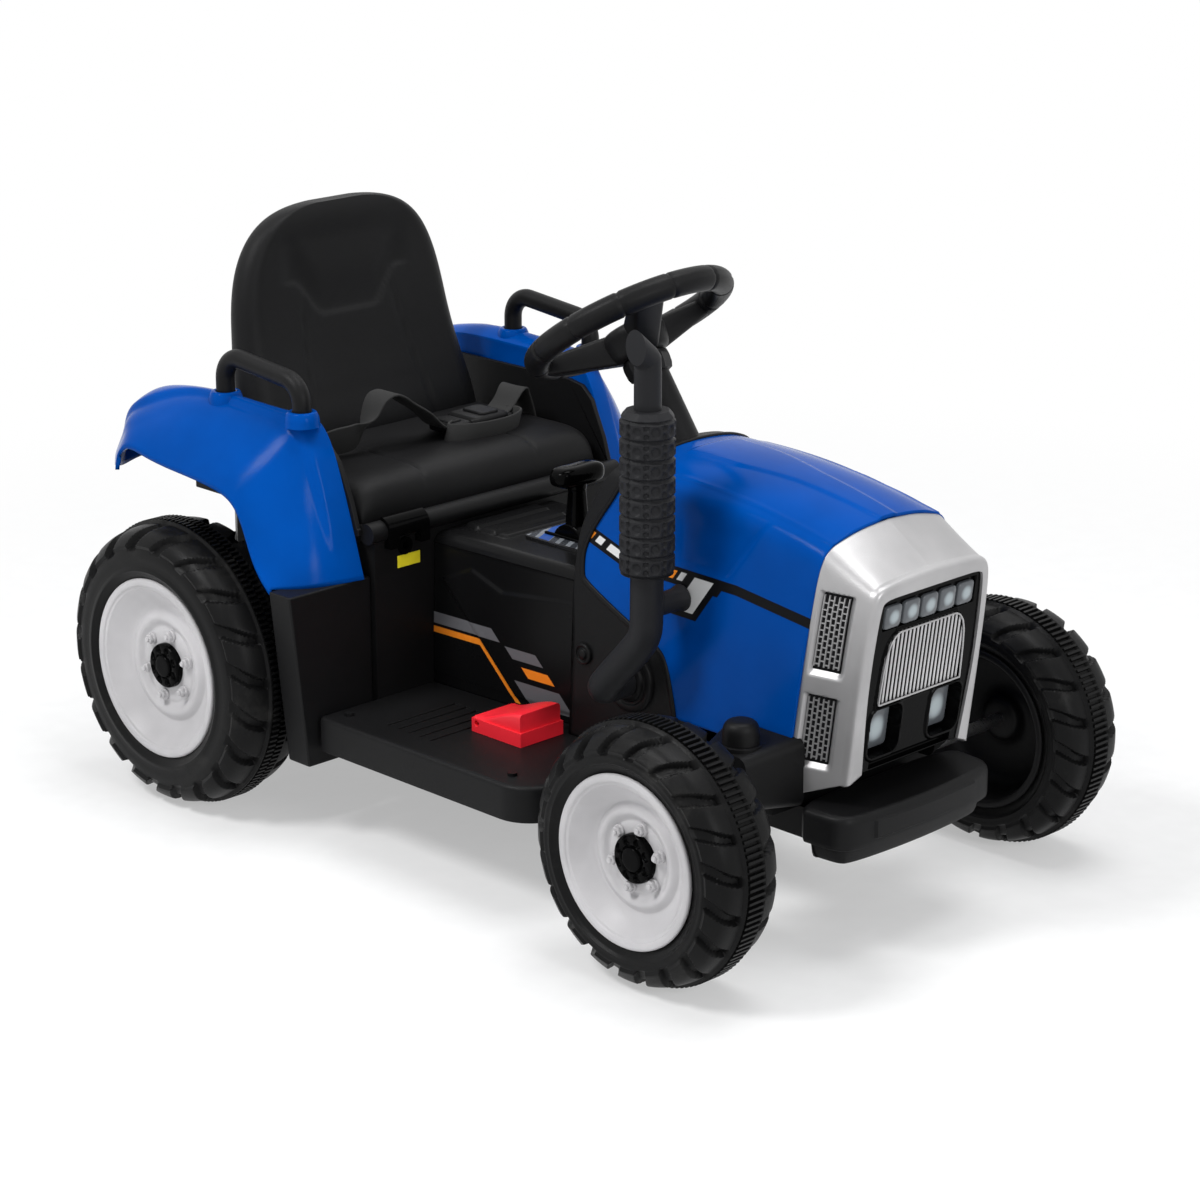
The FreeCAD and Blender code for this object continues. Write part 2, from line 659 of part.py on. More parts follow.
def make_gear_lever():
    """Gate plate, lever with its drum and trunnions, and the T knob on top."""
    plate = box(LEVER_X - GATE_REAR, LEVER_X + GATE_FRONT, -GATE_HALF, GATE_HALF, TUNNEL_TOP_Z,
                TUNNEL_TOP_Z + GATE_THICK)
    plate = plate.makeFillet(8, [e for e in plate.Edges if abs(e.tangentAt(e.FirstParameter).z) > 0.9])
    save("gear_gate", plate.cut(lever_slot(GAP)))
    pivot = lever_pivot()
    drum = rod(pivot - V(0, LEVER_DRUM_HALF, 0), pivot + V(0, LEVER_DRUM_HALF, 0), LEVER_DRUM_R)
    reach = LEVER_DRUM_HALF + LEVER_PIN_REACH
    pin = rod(pivot - V(0, reach, 0), pivot + V(0, reach, 0), LEVER_PIN_R)
    top = TUNNEL_TOP_Z + LEVER_HEIGHT
    stem = Part.makeCone(7, 10, top - pivot.z, pivot, Z_AXIS)
    save("gear_lever", drum.multiFuse([pin, stem]))
    knob = box(LEVER_X - KNOB_DEPTH / 2, LEVER_X + KNOB_DEPTH / 2, -KNOB_HALF, KNOB_HALF, top,
               top + KNOB_HEIGHT)
    save("gear_knob", knob.makeFillet(7, knob.Edges))


# Bonnet, cowl and nose

def hood_top(x):
    """Height of the bonnet's top edges: level at the back, falling in a parabola to the front."""
    along = max(0, x - HOOD_CREST_X) / (HOOD_FRONT_X - HOOD_CREST_X)
    return HOOD_TOP_Z - HOOD_DROP * along ** 2


def hood_half_section(top, grow):
    """Right half of the bonnet's cross-section, from the skirt up to the crown."""
    half = [(HOOD_SKIRT_HALF, DECK_Z), ((HOOD_SKIRT_HALF + HOOD_SIDE_HALF) / 2, (DECK_Z + HOOD_SIDE_Z) / 2)]
    half += [(HOOD_SIDE_HALF, HOOD_SIDE_Z), (HOOD_SIDE_HALF - 6, top - 30), (HOOD_EDGE_HALF + 8, top - 9)]
    half += [(HOOD_EDGE_HALF - 6, top), (HOOD_EDGE_HALF / 2, top + HOOD_CROWN * 0.75)]
    grown = [(y + grow, z) for y, z in half[:4]]
    grown += [(half[4][0] + grow * 0.7, half[4][1] + grow * 0.7)]
    grown += [(y, z + grow) for y, z in half[5:]]
    return grown + [(0, top + HOOD_CROWN + grow)]


def section_wire(half, place):
    """Close a half section into a full one, with each point placed by a function of y and z."""
    ring = [(-y, z) for y, z in half] + half[-2::-1]
    return closed_wire([place(y, z) for y, z in ring])


def hood_body(grow, drop=0.0):
    """Solid inside the bonnet and cowl's common outer skin, grown or shrunk all round."""
    wires = []
    fall = HOOD_FRONT_X - HOOD_CREST_X
    for x in (COWL_REAR_X - 19, HOOD_CREST_X - 40, HOOD_CREST_X, HOOD_CREST_X + 0.33 * fall,
              HOOD_CREST_X + 0.66 * fall,
              HOOD_FRONT_X + 10):
        half = hood_half_section(hood_top(x), grow)
        half[0] = (half[0][0], half[0][1] - drop)
        wires.append(section_wire(half, lambda y, z, x=x: V(x, y, z)))
    return Part.makeLoft(wires, True, False)


def bonnet_rear_edge():
    """Bonnet's rear edge in side view, from the top down."""
    steps = [(62, 25), (53.5, -10.4), (10, -68), (9.5, -98), (15, -104), (65, -127.3), (94, -138),
             (105, -147), (115, -182)]
    edge = [(COWL_REAR_X + along, HOOD_TOP_Z + rise) for along, rise in steps]
    return edge + [(COWL_REAR_X + 117, HOOD_SKIRT_Z)]


def cowl_rear_edge():
    """Cowl's rear edge in side view, from the deck up."""
    steps = [(0, -88), (5.5, -53.5), (30, -15), (44, 5), (53, 25)]
    return [(COWL_REAR_X, DECK_Z)] + [(COWL_REAR_X + along, HOOD_TOP_Z + rise) for along, rise in steps]


def seam_x(z):
    return SEAM_FOOT_X + (z - SEAM_FOOT_Z) * SEAM_LEAN


def face_x(z):
    return FACE_FOOT_X + (z - FACE_FOOT_Z) * FACE_LEAN


def make_bonnet():
    """Blue shell: the common skin between its rear edge and the seam with the mask."""
    notch = BEAM_TOP_Z + HOOD_AXLE_GAP
    front = [(seam_x(notch) - GAP, notch), (seam_x(HOOD_TOP_Z + 25) - GAP, HOOD_TOP_Z + 25)]
    low = [(FRONT_AXLE_X - BEAM_HALF_X - 8, HOOD_SKIRT_Z), (FRONT_AXLE_X - BEAM_HALF_X - 8, notch)]
    outline = prism([(x + GAP, z) for x, z in bonnet_rear_edge()] + low + front, -HALF_LENGTH, HALF_LENGTH)
    return hood_body(0).cut(hood_body(-HOOD_WALL, 40)).common(outline).cut(shroud_solid(GAP))


def shroud_axis():
    """Point where the steering column's axis meets the rim's plane, and its downward direction."""
    tilt = math.radians(STEER_TILT)
    return V(STEER_X, 0, STEER_Z), V(math.sin(tilt), 0, -math.cos(tilt))


def shroud_solid(grow):
    """Tapered column shroud from under the steering wheel's hub down into the cowl."""
    top, down = shroud_axis()
    start = top + down * (STEER_HUB_SINK + STEER_HUB_DEPTH + 2)
    return Part.makeCone(SHROUD_TOP_R + grow, SHROUD_FOOT_R + grow, SHROUD_LENGTH, start, down)


def make_cowl():
    """Black hoop behind and below the bonnet, with its rear wall."""
    low = [(COWL_FRONT_X, HOOD_SKIRT_Z), (COWL_FRONT_X, DECK_Z)]
    outline = prism(cowl_rear_edge() + bonnet_rear_edge() + low, -HALF_LENGTH, HALF_LENGTH)
    inside = [(x + WALL, z) for x, z in cowl_rear_edge()]
    inside[0] = (inside[0][0], DECK_Z - 1)
    core = prism(inside + [(HALF_LENGTH, HOOD_TOP_Z + 25), (HALF_LENGTH, DECK_Z - 1)], -HALF_LENGTH,
                 HALF_LENGTH)
    cowl = hood_body(0).common(outline).cut(hood_body(-HOOD_WALL, 40).common(core))
    return cowl.cut(shroud_solid(GAP))


def mask_wire(place_x, half_foot, half_mid, half_top, foot, top, crown, grow):
    """One leaning cross-section of the grille mask."""
    half = [(half_foot + grow, foot - grow), (half_mid + grow, (foot + top) / 2)]
    half += [(half_mid - 1 + grow, top - 36), (half_top + 5 + grow * 0.7, top - 8 + grow * 0.7)]
    half += [(half_top - 7, top + grow), (half_top / 2, top + 0.75 * crown + grow), (0, top + crown + grow)]
    return section_wire(half, lambda y, z: V(place_x(z), y, z))


def mask_body(grow, rear=0.0, front=0.0):
    """Solid inside the mask's outer skin, from the seam to the front face."""
    seam_top = hood_top(HOOD_FRONT_X)
    wires = [mask_wire(lambda z: seam_x(z) - rear, HOOD_SIDE_HALF + 2, HOOD_SIDE_HALF, HOOD_EDGE_HALF,
                       SEAM_FOOT_Z,
                       seam_top, HOOD_CROWN, grow)]
    wires.append(mask_wire(lambda z: face_x(z) - 12, FACE_HALF + 3, FACE_HALF + 3, FACE_HALF - 5,
                           FACE_FOOT_Z - 3,
                           FACE_TOP_Z + 6, FACE_CROWN, grow))
    wires.append(mask_wire(lambda z: face_x(z) - front, FACE_HALF, FACE_HALF, FACE_HALF - 8, FACE_FOOT_Z,
                           FACE_TOP_Z, FACE_CROWN, grow))
    return Part.makeLoft(wires, True, True)


def face_slab(outline_yz, back, front):
    """Flat plate parallel to the leaning front face, between two depths."""
    face = polygon_face([V(face_x(z) + back, y, z) for y, z in outline_yz])
    return face.extrude(V(front - back, 0, 0))


def both_sides(half_yz):
    """Mirror a half outline, given from the bottom up, into a full one."""
    return half_yz + [(-y, z) for y, z in half_yz[::-1]]


def fascia_outline(inset):
    half = [(FACE_HALF - 12 - inset, FACE_FOOT_Z + 4 + inset), (FACE_HALF - 6 - inset, FACE_FOOT_Z + 73)]
    return both_sides(half + [(FACE_HALF - 9 - inset, FACE_TOP_Z - 12),
                              (FACE_HALF - 14 - inset, FACE_TOP_Z - 7 - inset)])


def vent_outlines(inset):
    """Side view of the two vents in each cheek of the mask."""
    rows = [(FACE_FOOT_Z + 13, 50), (FACE_FOOT_Z + 88, 60)]
    outlines = []
    for low, height in rows:
        ring = [(low + inset, 8 + inset, -24 - inset), (low + height - inset, 8 + inset, -24 - inset)]
        (z0, a0, b0), (z1, a1, b1) = ring
        outlines.append([(seam_x(z0) + a0, z0), (face_x(z0) + b0, z0), (face_x(z1) + b1, z1),
                         (seam_x(z1) + a1, z1)])
    return outlines


def make_nose():
    """Grille mask, fascia, radiator grille, lamp lenses and side vents."""
    skin = mask_body(0)
    mask = skin.cut(mask_body(-MASK_WALL, 5.0, MASK_FRONT_WALL))
    mask = mask.cut(face_slab(fascia_outline(0), -2 * MASK_FRONT_WALL, 2 * MASK_FRONT_WALL))
    layer = mask_body(-1.5, 5.0, 1.5).cut(mask_body(-MASK_WALL + 1, 5.0, MASK_FRONT_WALL))
    vents = []
    for hole, panel in zip(vent_outlines(0), vent_outlines(GAP)):
        mask = mask.cut(prism(hole, -HALF_LENGTH, HALF_LENGTH))
        vents += layer.common(prism(panel, -HALF_LENGTH, HALF_LENGTH)).Solids
    save("grille_mask", mask)
    save("side_vents", *vents)
    surface = -FASCIA_RECESS
    save("fascia_panel", face_slab(fascia_outline(GAP), surface - FASCIA_THICK, surface))
    lens_width = 2 * (FACE_HALF - 13) / 5
    lens_top = FACE_TOP_Z - 9
    lenses = []
    for i in range(5):
        y0 = -(FACE_HALF - 13) + i * lens_width + 1
        y1 = y0 + lens_width - 2
        ring = [(y0, lens_top - 19), (y1, lens_top - 19), (y1, lens_top), (y0, lens_top)]
        lenses.append(face_slab(ring, surface, surface + LENS_THICK))
    save("headlight_lenses", *lenses)
    low, high = FACE_FOOT_Z + 59, FACE_TOP_Z - 37
    frame = both_sides([(FACE_HALF - 21, low), (FACE_HALF - 24, high - 16), (FACE_HALF - 36, high)])
    grille = face_slab(frame, surface, surface + 1)
    window = both_sides([(FACE_HALF - 24, low + 3), (FACE_HALF - 27, high - 18), (FACE_HALF - 38, high - 3)])
    window = face_slab(window, surface, surface + FASCIA_THICK)
    pitch = 2 * (FACE_HALF - 24) / RIB_COUNT
    ribs = []
    for i in range(RIB_COUNT):
        y = 24 - FACE_HALF + (i + 0.25) * pitch
        ring = [(y, low), (y + pitch / 2, low), (y + pitch / 2, high), (y, high)]
        ribs.append(face_slab(ring, surface + 0.5, surface + 1 + RIB_DEPTH).common(window))
    save("radiator_grille", grille.multiFuse(ribs))
    lamps = []
    for side in (1, -1):
        ring = [(side * 22, FACE_FOOT_Z + 20), (side * 50, FACE_FOOT_Z + 20), (side * 50, FACE_FOOT_Z + 44),
                (side * 44, FACE_FOOT_Z + 50), (side * 22, FACE_FOOT_Z + 50)]
        lamps.append(face_slab(ring, surface, surface + LENS_THICK))
    save("lower_lamp_lenses", *lamps)


def make_bumper():
    """Bumper bar with a bowed front, a chin and a wedge under the mask."""
    plan = [V(BUMPER_REAR_X, -BUMPER_HALF, 0), V(HALF_LENGTH - 24, -BUMPER_HALF + 4, 0),
            V(HALF_LENGTH - 10, -BUMPER_HALF + 18, 0), V(HALF_LENGTH, -34, 0), V(HALF_LENGTH, 34, 0),
            V(HALF_LENGTH - 10, BUMPER_HALF - 18, 0), V(HALF_LENGTH - 24, BUMPER_HALF - 4, 0),
            V(BUMPER_REAR_X, BUMPER_HALF, 0)]
    chin_top = BUMPER_FOOT_Z + 14
    bar = polygon_face([p + V(0, 0, chin_top) for p in plan]).extrude(V(0, 0, BUMPER_TOP_Z - chin_top))
    rims = [e for e in bar.Edges if e.BoundBox.ZLength < 1e-6 and e.CenterOfMass.x > BUMPER_REAR_X + 1]
    bar = bar.makeFillet(4, rims)
    chin = [(BUMPER_REAR_X, BUMPER_FOOT_Z), (HALF_LENGTH - 40, BUMPER_FOOT_Z),
            (HALF_LENGTH - 22, chin_top + 6),
            (BUMPER_REAR_X, chin_top + 6)]
    chin = prism(chin, -BUMPER_HALF + 6, BUMPER_HALF - 6)
    slope = (FACE_FOOT_Z - SEAM_FOOT_Z) / (FACE_FOOT_X - SEAM_FOOT_X)
    rear_z = SEAM_FOOT_Z + (BUMPER_REAR_X - SEAM_FOOT_X) * slope - 2 * GAP
    front_x = FACE_FOOT_X - 14
    front_z = SEAM_FOOT_Z + (front_x - SEAM_FOOT_X) * slope - 2 * GAP
    wedge = prism([(BUMPER_REAR_X, BUMPER_TOP_Z - 5), (front_x, BUMPER_TOP_Z - 5), (front_x, front_z),
                   (BUMPER_REAR_X, rear_z)], -FACE_HALF + 14, FACE_HALF - 14)
    return bar.multiFuse([chin, wedge]).cut(mask_body(GAP))


# Front axle and steering

def shaft_end():
    """Lower end of the steering shaft and the crank's direction; the crank pin is at the tie rod's height."""
    top, down = shroud_axis()
    aft = V(-math.cos(math.radians(STEER_TILT)), 0, -math.sin(math.radians(STEER_TILT)))
    crank = ARM_LENGTH * math.sin(math.radians(KNUCKLE_LOCK)) / math.sin(math.radians(STEER_LOCK))
    pin_z = tie_rod_z() + TIE_THICK / 2
    reach = (top.z + aft.z * crank - pin_z) / -down.z
    return top + down * reach, aft, crank


def arm_z():
    """Underside of the steering arms, below the kingpin bosses."""
    return BOSS_FOOT_Z - GAP - ARM_THICK


def tie_rod_z():
    """Underside of the tie rod, just above the arms."""
    return arm_z() + ARM_THICK + GAP


def make_axle_beam():
    """Cross beam on the spine with a kingpin boss at each end and a bush for the steering shaft."""
    top, down = shroud_axis()
    beam = box(FRONT_AXLE_X - BEAM_HALF_X, FRONT_AXLE_X + BEAM_HALF_X, -BEAM_HALF_Y, BEAM_HALF_Y,
               SPINE_TOP_Z, BEAM_TOP_Z)
    pieces = []
    bores = []
    for side in (1, -1):
        y = side * KINGPIN_Y
        pieces.append(rod(V(FRONT_AXLE_X, y, BOSS_FOOT_Z), V(FRONT_AXLE_X, y, BEAM_TOP_Z), BOSS_R))
        y0, y1 = sorted((side * (BEAM_HALF_Y - 1), y))
        pieces.append(box(FRONT_AXLE_X - BOSS_R + 2, FRONT_AXLE_X + BOSS_R - 2, y0, y1, BOSS_FOOT_Z,
                          BEAM_TOP_Z))
        bores.append(rod(V(FRONT_AXLE_X, y, SPINE_TOP_Z), V(FRONT_AXLE_X, y, CAP_TOP_Z),
                         KINGPIN_R + RUN_CLEAR))
    reach = (top.z - BEAM_TOP_Z + 4) / -down.z
    collar = top + down * reach
    pieces.append(rod(collar, collar + down * 16, SHAFT_R * 2.2))
    pieces.append(box(collar.x + 2, FRONT_AXLE_X - BEAM_HALF_X + 1, -SHAFT_R * 1.8, SHAFT_R * 1.8,
                      BEAM_TOP_Z - 16, BEAM_TOP_Z - 4))
    bores.append(rod(top, top + down * STEER_Z, SHAFT_R + RUN_CLEAR))
    return cut_all(beam.multiFuse(pieces), bores)


def cut_all(shape, tools):
    for tool in tools:
        shape = shape.cut(tool)
    return shape


def make_knuckle(side):
    """Bent stub axle with collar and steering arm, and the nut on its end."""
    y = side * KINGPIN_Y
    reach = FRONT_TRACK_HALF + axle_end(FRONT_TYRE_W)
    upright = rod(V(FRONT_AXLE_X, y, FRONT_TYRE_R), V(FRONT_AXLE_X, y, CAP_TOP_Z - 8), KINGPIN_R)
    elbow = Part.makeSphere(KINGPIN_R, V(FRONT_AXLE_X, y, FRONT_TYRE_R))
    stub = rod(V(FRONT_AXLE_X, y, FRONT_TYRE_R), V(FRONT_AXLE_X, side * reach, FRONT_TYRE_R), AXLE_R)
    low = arm_z()
    collar = rod(V(FRONT_AXLE_X, y, low), V(FRONT_AXLE_X, y, low + ARM_THICK), BOSS_R - 3)
    tip = V(FRONT_AXLE_X - ARM_LENGTH, y, low)
    arm = box(tip.x, FRONT_AXLE_X, y - ARM_HALF, y + ARM_HALF, low, low + ARM_THICK)
    eye = rod(tip, tip + V(0, 0, ARM_THICK), ARM_HALF)
    knuckle = upright.multiFuse([elbow, stub, collar, arm, eye])
    knuckle = knuckle.cut(rod(tip - V(0, 0, 1), tip + V(0, 0, ARM_THICK + 1), TIE_PIN_R + RUN_CLEAR))
    return knuckle, axle_nut(V(FRONT_AXLE_X, side * FRONT_TRACK_HALF, FRONT_TYRE_R), side, FRONT_TYRE_W)


def make_tie_rod():
    """Flat bar between the steering arms, with a pin at each end and the crank's slot in the middle."""
    x = FRONT_AXLE_X - ARM_LENGTH
    low = tie_rod_z()
    bar = box(x - TIE_HALF, x + TIE_HALF, -KINGPIN_Y, KINGPIN_Y, low, low + TIE_THICK)
    ends = []
    for side in (1, -1):
        foot = V(x, side * KINGPIN_Y, low)
        ends.append(rod(foot, foot + V(0, 0, TIE_THICK), TIE_HALF))
        ends.append(rod(foot - V(0, 0, ARM_THICK + 2), foot + V(0, 0, 1), TIE_PIN_R))
    end, aft, crank = shaft_end()
    pad = box(x - 24, x + 16, -14, 14, low, low + TIE_THICK)
    pin_x = end.x + aft.x * crank
    slot = box(pin_x - 14, pin_x + 12, -TIE_PIN_R - 0.7, TIE_PIN_R + 0.7, low - 1, low + TIE_THICK + 1)
    return bar.multiFuse(ends + [pad]).cut(slot)


def make_steering():
    """Steering wheel, horn button, shaft with crank, and the fixed shroud."""
    top, down = shroud_axis()
    ring = Part.makeTorus(STEER_RING_R, STEER_TUBE_R, top, down)
    hub_top = top + down * STEER_HUB_SINK
    hub_foot = hub_top + down * STEER_HUB_DEPTH
    hub = rod(hub_top, hub_foot, STEER_HUB_R)
    spokes = []
    for turn in (90, 210, 330):
        spoke = box(0, STEER_RING_R, -SPOKE_HALF, SPOKE_HALF, -SPOKE_THICK / 2, SPOKE_THICK / 2)
        spoke.translate(V(0, 0, -STEER_HUB_SINK - SPOKE_THICK / 2 + 2))
        spoke.rotate(V(0, 0, 0), Z_AXIS, turn)
        spoke.rotate(V(0, 0, 0), Y_AXIS, -STEER_TILT)
        spoke.translate(top)
        spokes.append(spoke)
    wheel = ring.multiFuse([hub] + spokes)
    well = rod(hub_top - down * (STEER_TUBE_R + 5), hub_top + down * (HORN_TRAVEL + 8), HORN_R + GAP)
    wheel = wheel.cut(well)
    socket = hub_foot - down * (STEER_HUB_DEPTH - HORN_TRAVEL - 12)
    wheel = wheel.cut(rod(socket, hub_foot + down, SHAFT_R + GAP / 2))
    save("steering_wheel", wheel)
    button = rod(hub_top - down * HORN_PROUD, hub_top + down * 8, HORN_R)
    save("horn_button", button)
    end, aft, crank = shaft_end()
    bar = rod(socket + down * GAP, end, SHAFT_R)
    web = rod(end - down * 8, end - down * 8 + aft * crank, SHAFT_R * 0.8)
    pin_top = end - down * 8 + aft * crank
    pin = rod(pin_top, pin_top + down * 14, TIE_PIN_R)
    save("steering_shaft", bar.multiFuse([web, Part.makeSphere(SHAFT_R * 0.8, pin_top), pin]))
    shroud = shroud_solid(0).cut(rod(top, top + down * STEER_Z, SHAFT_R + 1))
    save("column_shroud", shroud)


def make_kingpin_cap(side):
    """Black cup over the kingpin's upper end."""
    foot = V(FRONT_AXLE_X, side * KINGPIN_Y, BEAM_TOP_Z)
    height = CAP_TOP_Z - BEAM_TOP_Z
    cap = rod(foot, foot + V(0, 0, height), KINGPIN_CAP_R)
    cap = cap.makeFillet(3, [e for e in cap.Edges if abs(e.CenterOfMass.z - CAP_TOP_Z) < 1e-6 and e.Closed])
    return cap.cut(rod(foot, foot + V(0, 0, height - 3), KINGPIN_R + 2))


# Exhaust

def make_exhaust():
    """Bent stack with its peg to the bonnet, and the ringed sleeve around it."""
    y = EXHAUST_Y
    kink = V(EXHAUST_X, y, EXHAUST_KINK_Z)
    lean = math.radians(EXHAUST_TIP_LEAN)
    tip = kink + V(0, -math.sin(lean), math.cos(lean)) * EXHAUST_TIP_RUN
    points = [V(EXHAUST_ELBOW_X, -HOOD_SIDE_HALF, EXHAUST_ELBOW_Z), V(EXHAUST_ELBOW_X, y, EXHAUST_ELBOW_Z),
              V(EXHAUST_X, y, EXHAUST_KNEE_Z), kink, tip]
    pipe = bent_tube(points, EXHAUST_R, EXHAUST_R + 4)
    peg = rod(V(EXHAUST_X, y, PEG_Z), V(EXHAUST_X, -HOOD_EDGE_HALF, PEG_Z), PEG_R)
    face = y - EXHAUST_TIP_OUT
    beyond = box(EXHAUST_X - EXHAUST_R * 2, EXHAUST_X + EXHAUST_R * 2, face - EXHAUST_TIP_RUN * 2, face,
                 kink.z - EXHAUST_R * 2, tip.z + EXHAUST_R * 2)
    save("exhaust_pipe", pipe.fuse(peg).cut(beyond).cut(hood_body(GAP)))
    ring = (SLEEVE_TOP_Z - SLEEVE_FOOT_Z) / SLEEVE_RINGS
    bore = EXHAUST_R + GAP
    outline = [(bore, SLEEVE_FOOT_Z)]
    for i in range(SLEEVE_RINGS):
        z = SLEEVE_FOOT_Z + i * ring
        outline += [(SLEEVE_R - SLEEVE_GROOVE, z), (SLEEVE_R, z + 2), (SLEEVE_R, z + ring - 3)]
        outline += [(SLEEVE_R - SLEEVE_GROOVE, z + ring - 1)]
    outline += [(SLEEVE_R - 4, SLEEVE_TOP_Z), (bore, SLEEVE_TOP_Z)]
    face = polygon_face([V(EXHAUST_X + r, y, z) for r, z in outline])
    save("exhaust_sleeve", face.revolve(V(EXHAUST_X, y, 0), Z_AXIS, 360))


# Fenders and handles

def fender_sections():
    """Top outlines in side view at growing distance from the middle, from the tail to the front foot."""
    tables = [
        (0, [(-120, -75), (-115, -51), (-94, -22), (-59, -8), (76, -4), (105, -6), (130, -43), (145, -87),
             (159, 0)]),
        (15, [(-120, -75), (-113, -46), (-90, -18), (-54, -3), (74, 0), (102, -5), (128, -44), (142, -87),
              (156, 0)]),
        (40, [(-117.5, -78), (-108, -49), (-96, -27), (-60, -12), (66, -13), (96, -22), (123, -59),
              (137, -92), (150, 0)]),
        (60, [(-106, -72), (-98, -49), (-79, -33), (-34, -28), (55, -36), (85, -46), (111, -80),
              (124, -105), (138, 0)]),
        (72, [(-84, -65), (-78, -53), (-64, -45), (-34, -46), (53, -55), (78, -63), (98, -95), (110, -117),
              (125, 0)]),
    ]
    sections = []
    for out, steps in tables:
        outline = [(REAR_AXLE_X + along, FENDER_TOP_Z + rise) for along, rise in steps]
        outline[-1] = (outline[-1][0], COLUMN_TOP_Z)
        sections.append((FENDER_INNER_Y + out, outline))
    return sections


def inward(points, depth):
    """Shift an outline towards its hollow side by a depth, keeping its last point level."""
    shifted = []
    for i, (x, z) in enumerate(points):
        x0, z0 = points[max(0, i - 1)]
        x1, z1 = points[min(len(points) - 1, i + 1)]
        run = math.hypot(x1 - x0, z1 - z0)
        shifted.append((x + depth * (z1 - z0) / run, z - depth * (x1 - x0) / run))
    shifted[0] = (shifted[0][0], points[0][1])
    shifted[-1] = (shifted[-1][0], points[-1][1])
    return shifted


def band_wire(y, outline, depth):
    """Closed band between an outline and its inward copy."""
    upper = [V(x, y, z) for x, z in outline]
    lower = [V(x, y, z) for x, z in inward(outline, depth)]
    return Part.Wire([spline(upper), Part.makeLine(upper[-1], lower[-1]), spline(lower[::-1]),
                      Part.makeLine(lower[0], upper[0])])


def handle_feet():
    return [V(HANDLE_REAR_X, HANDLE_Y, HANDLE_FOOT_Z), V(HANDLE_FRONT_X, HANDLE_Y, HANDLE_FOOT_Z)]


def make_fender():
    """Left fender: crowned shell over the wheel with an inner skirt and two handle bosses."""
    sections = fender_sections()
    shell = Part.makeLoft([band_wire(y, outline, FENDER_WALL) for y, outline in sections], True, False)
    y, outline = sections[0]
    skirt = Part.Face(band_wire(y, outline, FENDER_SKIRT)).extrude(V(0, FENDER_SKIRT_THICK, 0))
    bosses = []
    for foot in handle_feet():
        bosses.append(rod(foot - V(0, 0, 16), foot, BOSS_RING_R))
    return shell.multiFuse([skirt] + bosses)


def make_handle():
    """Left grab handle: one bent bar standing on the fender's bosses."""
    rear, front = handle_feet()
    high = rear + V(0, 0, HANDLE_REAR_RISE - HANDLE_TUBE_R)
    low = front + V(0, 0, HANDLE_FRONT_RISE - HANDLE_TUBE_R)
    return bent_tube([rear, high, low, front], HANDLE_TUBE_R, HANDLE_BEND_R)


# Seat and belt

def rounded_outline(x0, x1, half, z, corner):
    """Rectangle in plan with rounded corners, as one closed wire."""
    face = polygon_face([V(x0, -half, z), V(x1, -half, z), V(x1, half, z), V(x0, half, z)])
    slab = face.extrude(V(0, 0, 1))
    slab = slab.makeFillet(corner, [e for e in slab.Edges if e.BoundBox.ZLength > 0.5])
    low = [f for f in slab.Faces if f.BoundBox.ZLength < 1e-6 and abs(f.CenterOfMass.z - z) < 1e-6]
    return low[0].OuterWire


def seat_solid(shrink):
    """Crowned cushion and a backrest that leans and rounds over at the top, shrunk for the hollow inside."""
    base = BODY_TOP_Z - (1 if shrink else 0)
    height = SEAT_TOP_Z - shrink - base
    cushion = []
    for rise, inset in ((0.0, 4), (0.25, 0), (0.6, 1), (0.85, 7), (0.96, 18), (1.0, 34)):
        pull = inset + shrink
        cushion.append(rounded_outline(SEAT_REAR_X + pull, SEAT_FRONT_X - pull, SEAT_HALF - pull,
                                       base + rise * height,
                                       50 - inset / 2 - shrink))
    tall = BACK_TOP_Z - shrink - base
    back = []
    steps = [(0.0, -6, 48, 17), (0.2, -7, 46, 17), (0.4, -14, 30, 18), (0.6, -19, 17, 23),
             (0.76, -21, 11, 32),
             (0.88, -20, 8, 47), (0.96, -17, 5, 70), (1.0, -13, 1, 97)]
    for rise, rear, front, inset in steps:
        x0, x1 = SEAT_REAR_X + rear + shrink, SEAT_REAR_X + front - shrink
        back.append(rounded_outline(x0, x1, SEAT_HALF - inset - shrink, base + rise * tall,
                                    min(13, 0.4 * (x1 - x0))))
    return Part.makeLoft(cushion, True, False).fuse(Part.makeLoft(back, True, False))


def make_seat():
    """Moulded seat shell, open underneath."""
    return seat_solid(0).cut(seat_solid(SEAT_WALL))


def make_belt():
    """Lap belt laid across the cushion, clipped left of the middle."""
    low = SEAT_TOP_Z + GAP
    x0, x1 = BELT_X - BELT_WIDTH / 2, BELT_X + BELT_WIDTH / 2
    joint_y, socket_end = BUCKLE_Y - BUCKLE_LENGTH / 2, BUCKLE_Y + BUCKLE_LENGTH / 2
    tongue_end = joint_y - TONGUE_LENGTH
    save("buckle_socket", box(BELT_X - BUCKLE_HALF, BELT_X + BUCKLE_HALF, joint_y, socket_end, low,
                              low + BUCKLE_THICK))
    save("buckle_tongue", box(BELT_X - BUCKLE_HALF + 4, BELT_X + BUCKLE_HALF - 4, tongue_end, joint_y,
                              low, low + BUCKLE_THICK - 2))
    save("belt_strap_left", box(x0, x1, socket_end, BELT_END_Y, low, low + BELT_THICK))
    save("belt_strap_right", box(x0, x1, -BELT_END_Y, tongue_end, low, low + BELT_THICK))


# Pedal

def pedal_pivot():
    return V(PEDAL_REAR_X + 6, PEDAL_Y, DECK_Z + PEDAL_BASE_HEIGHT - 4)


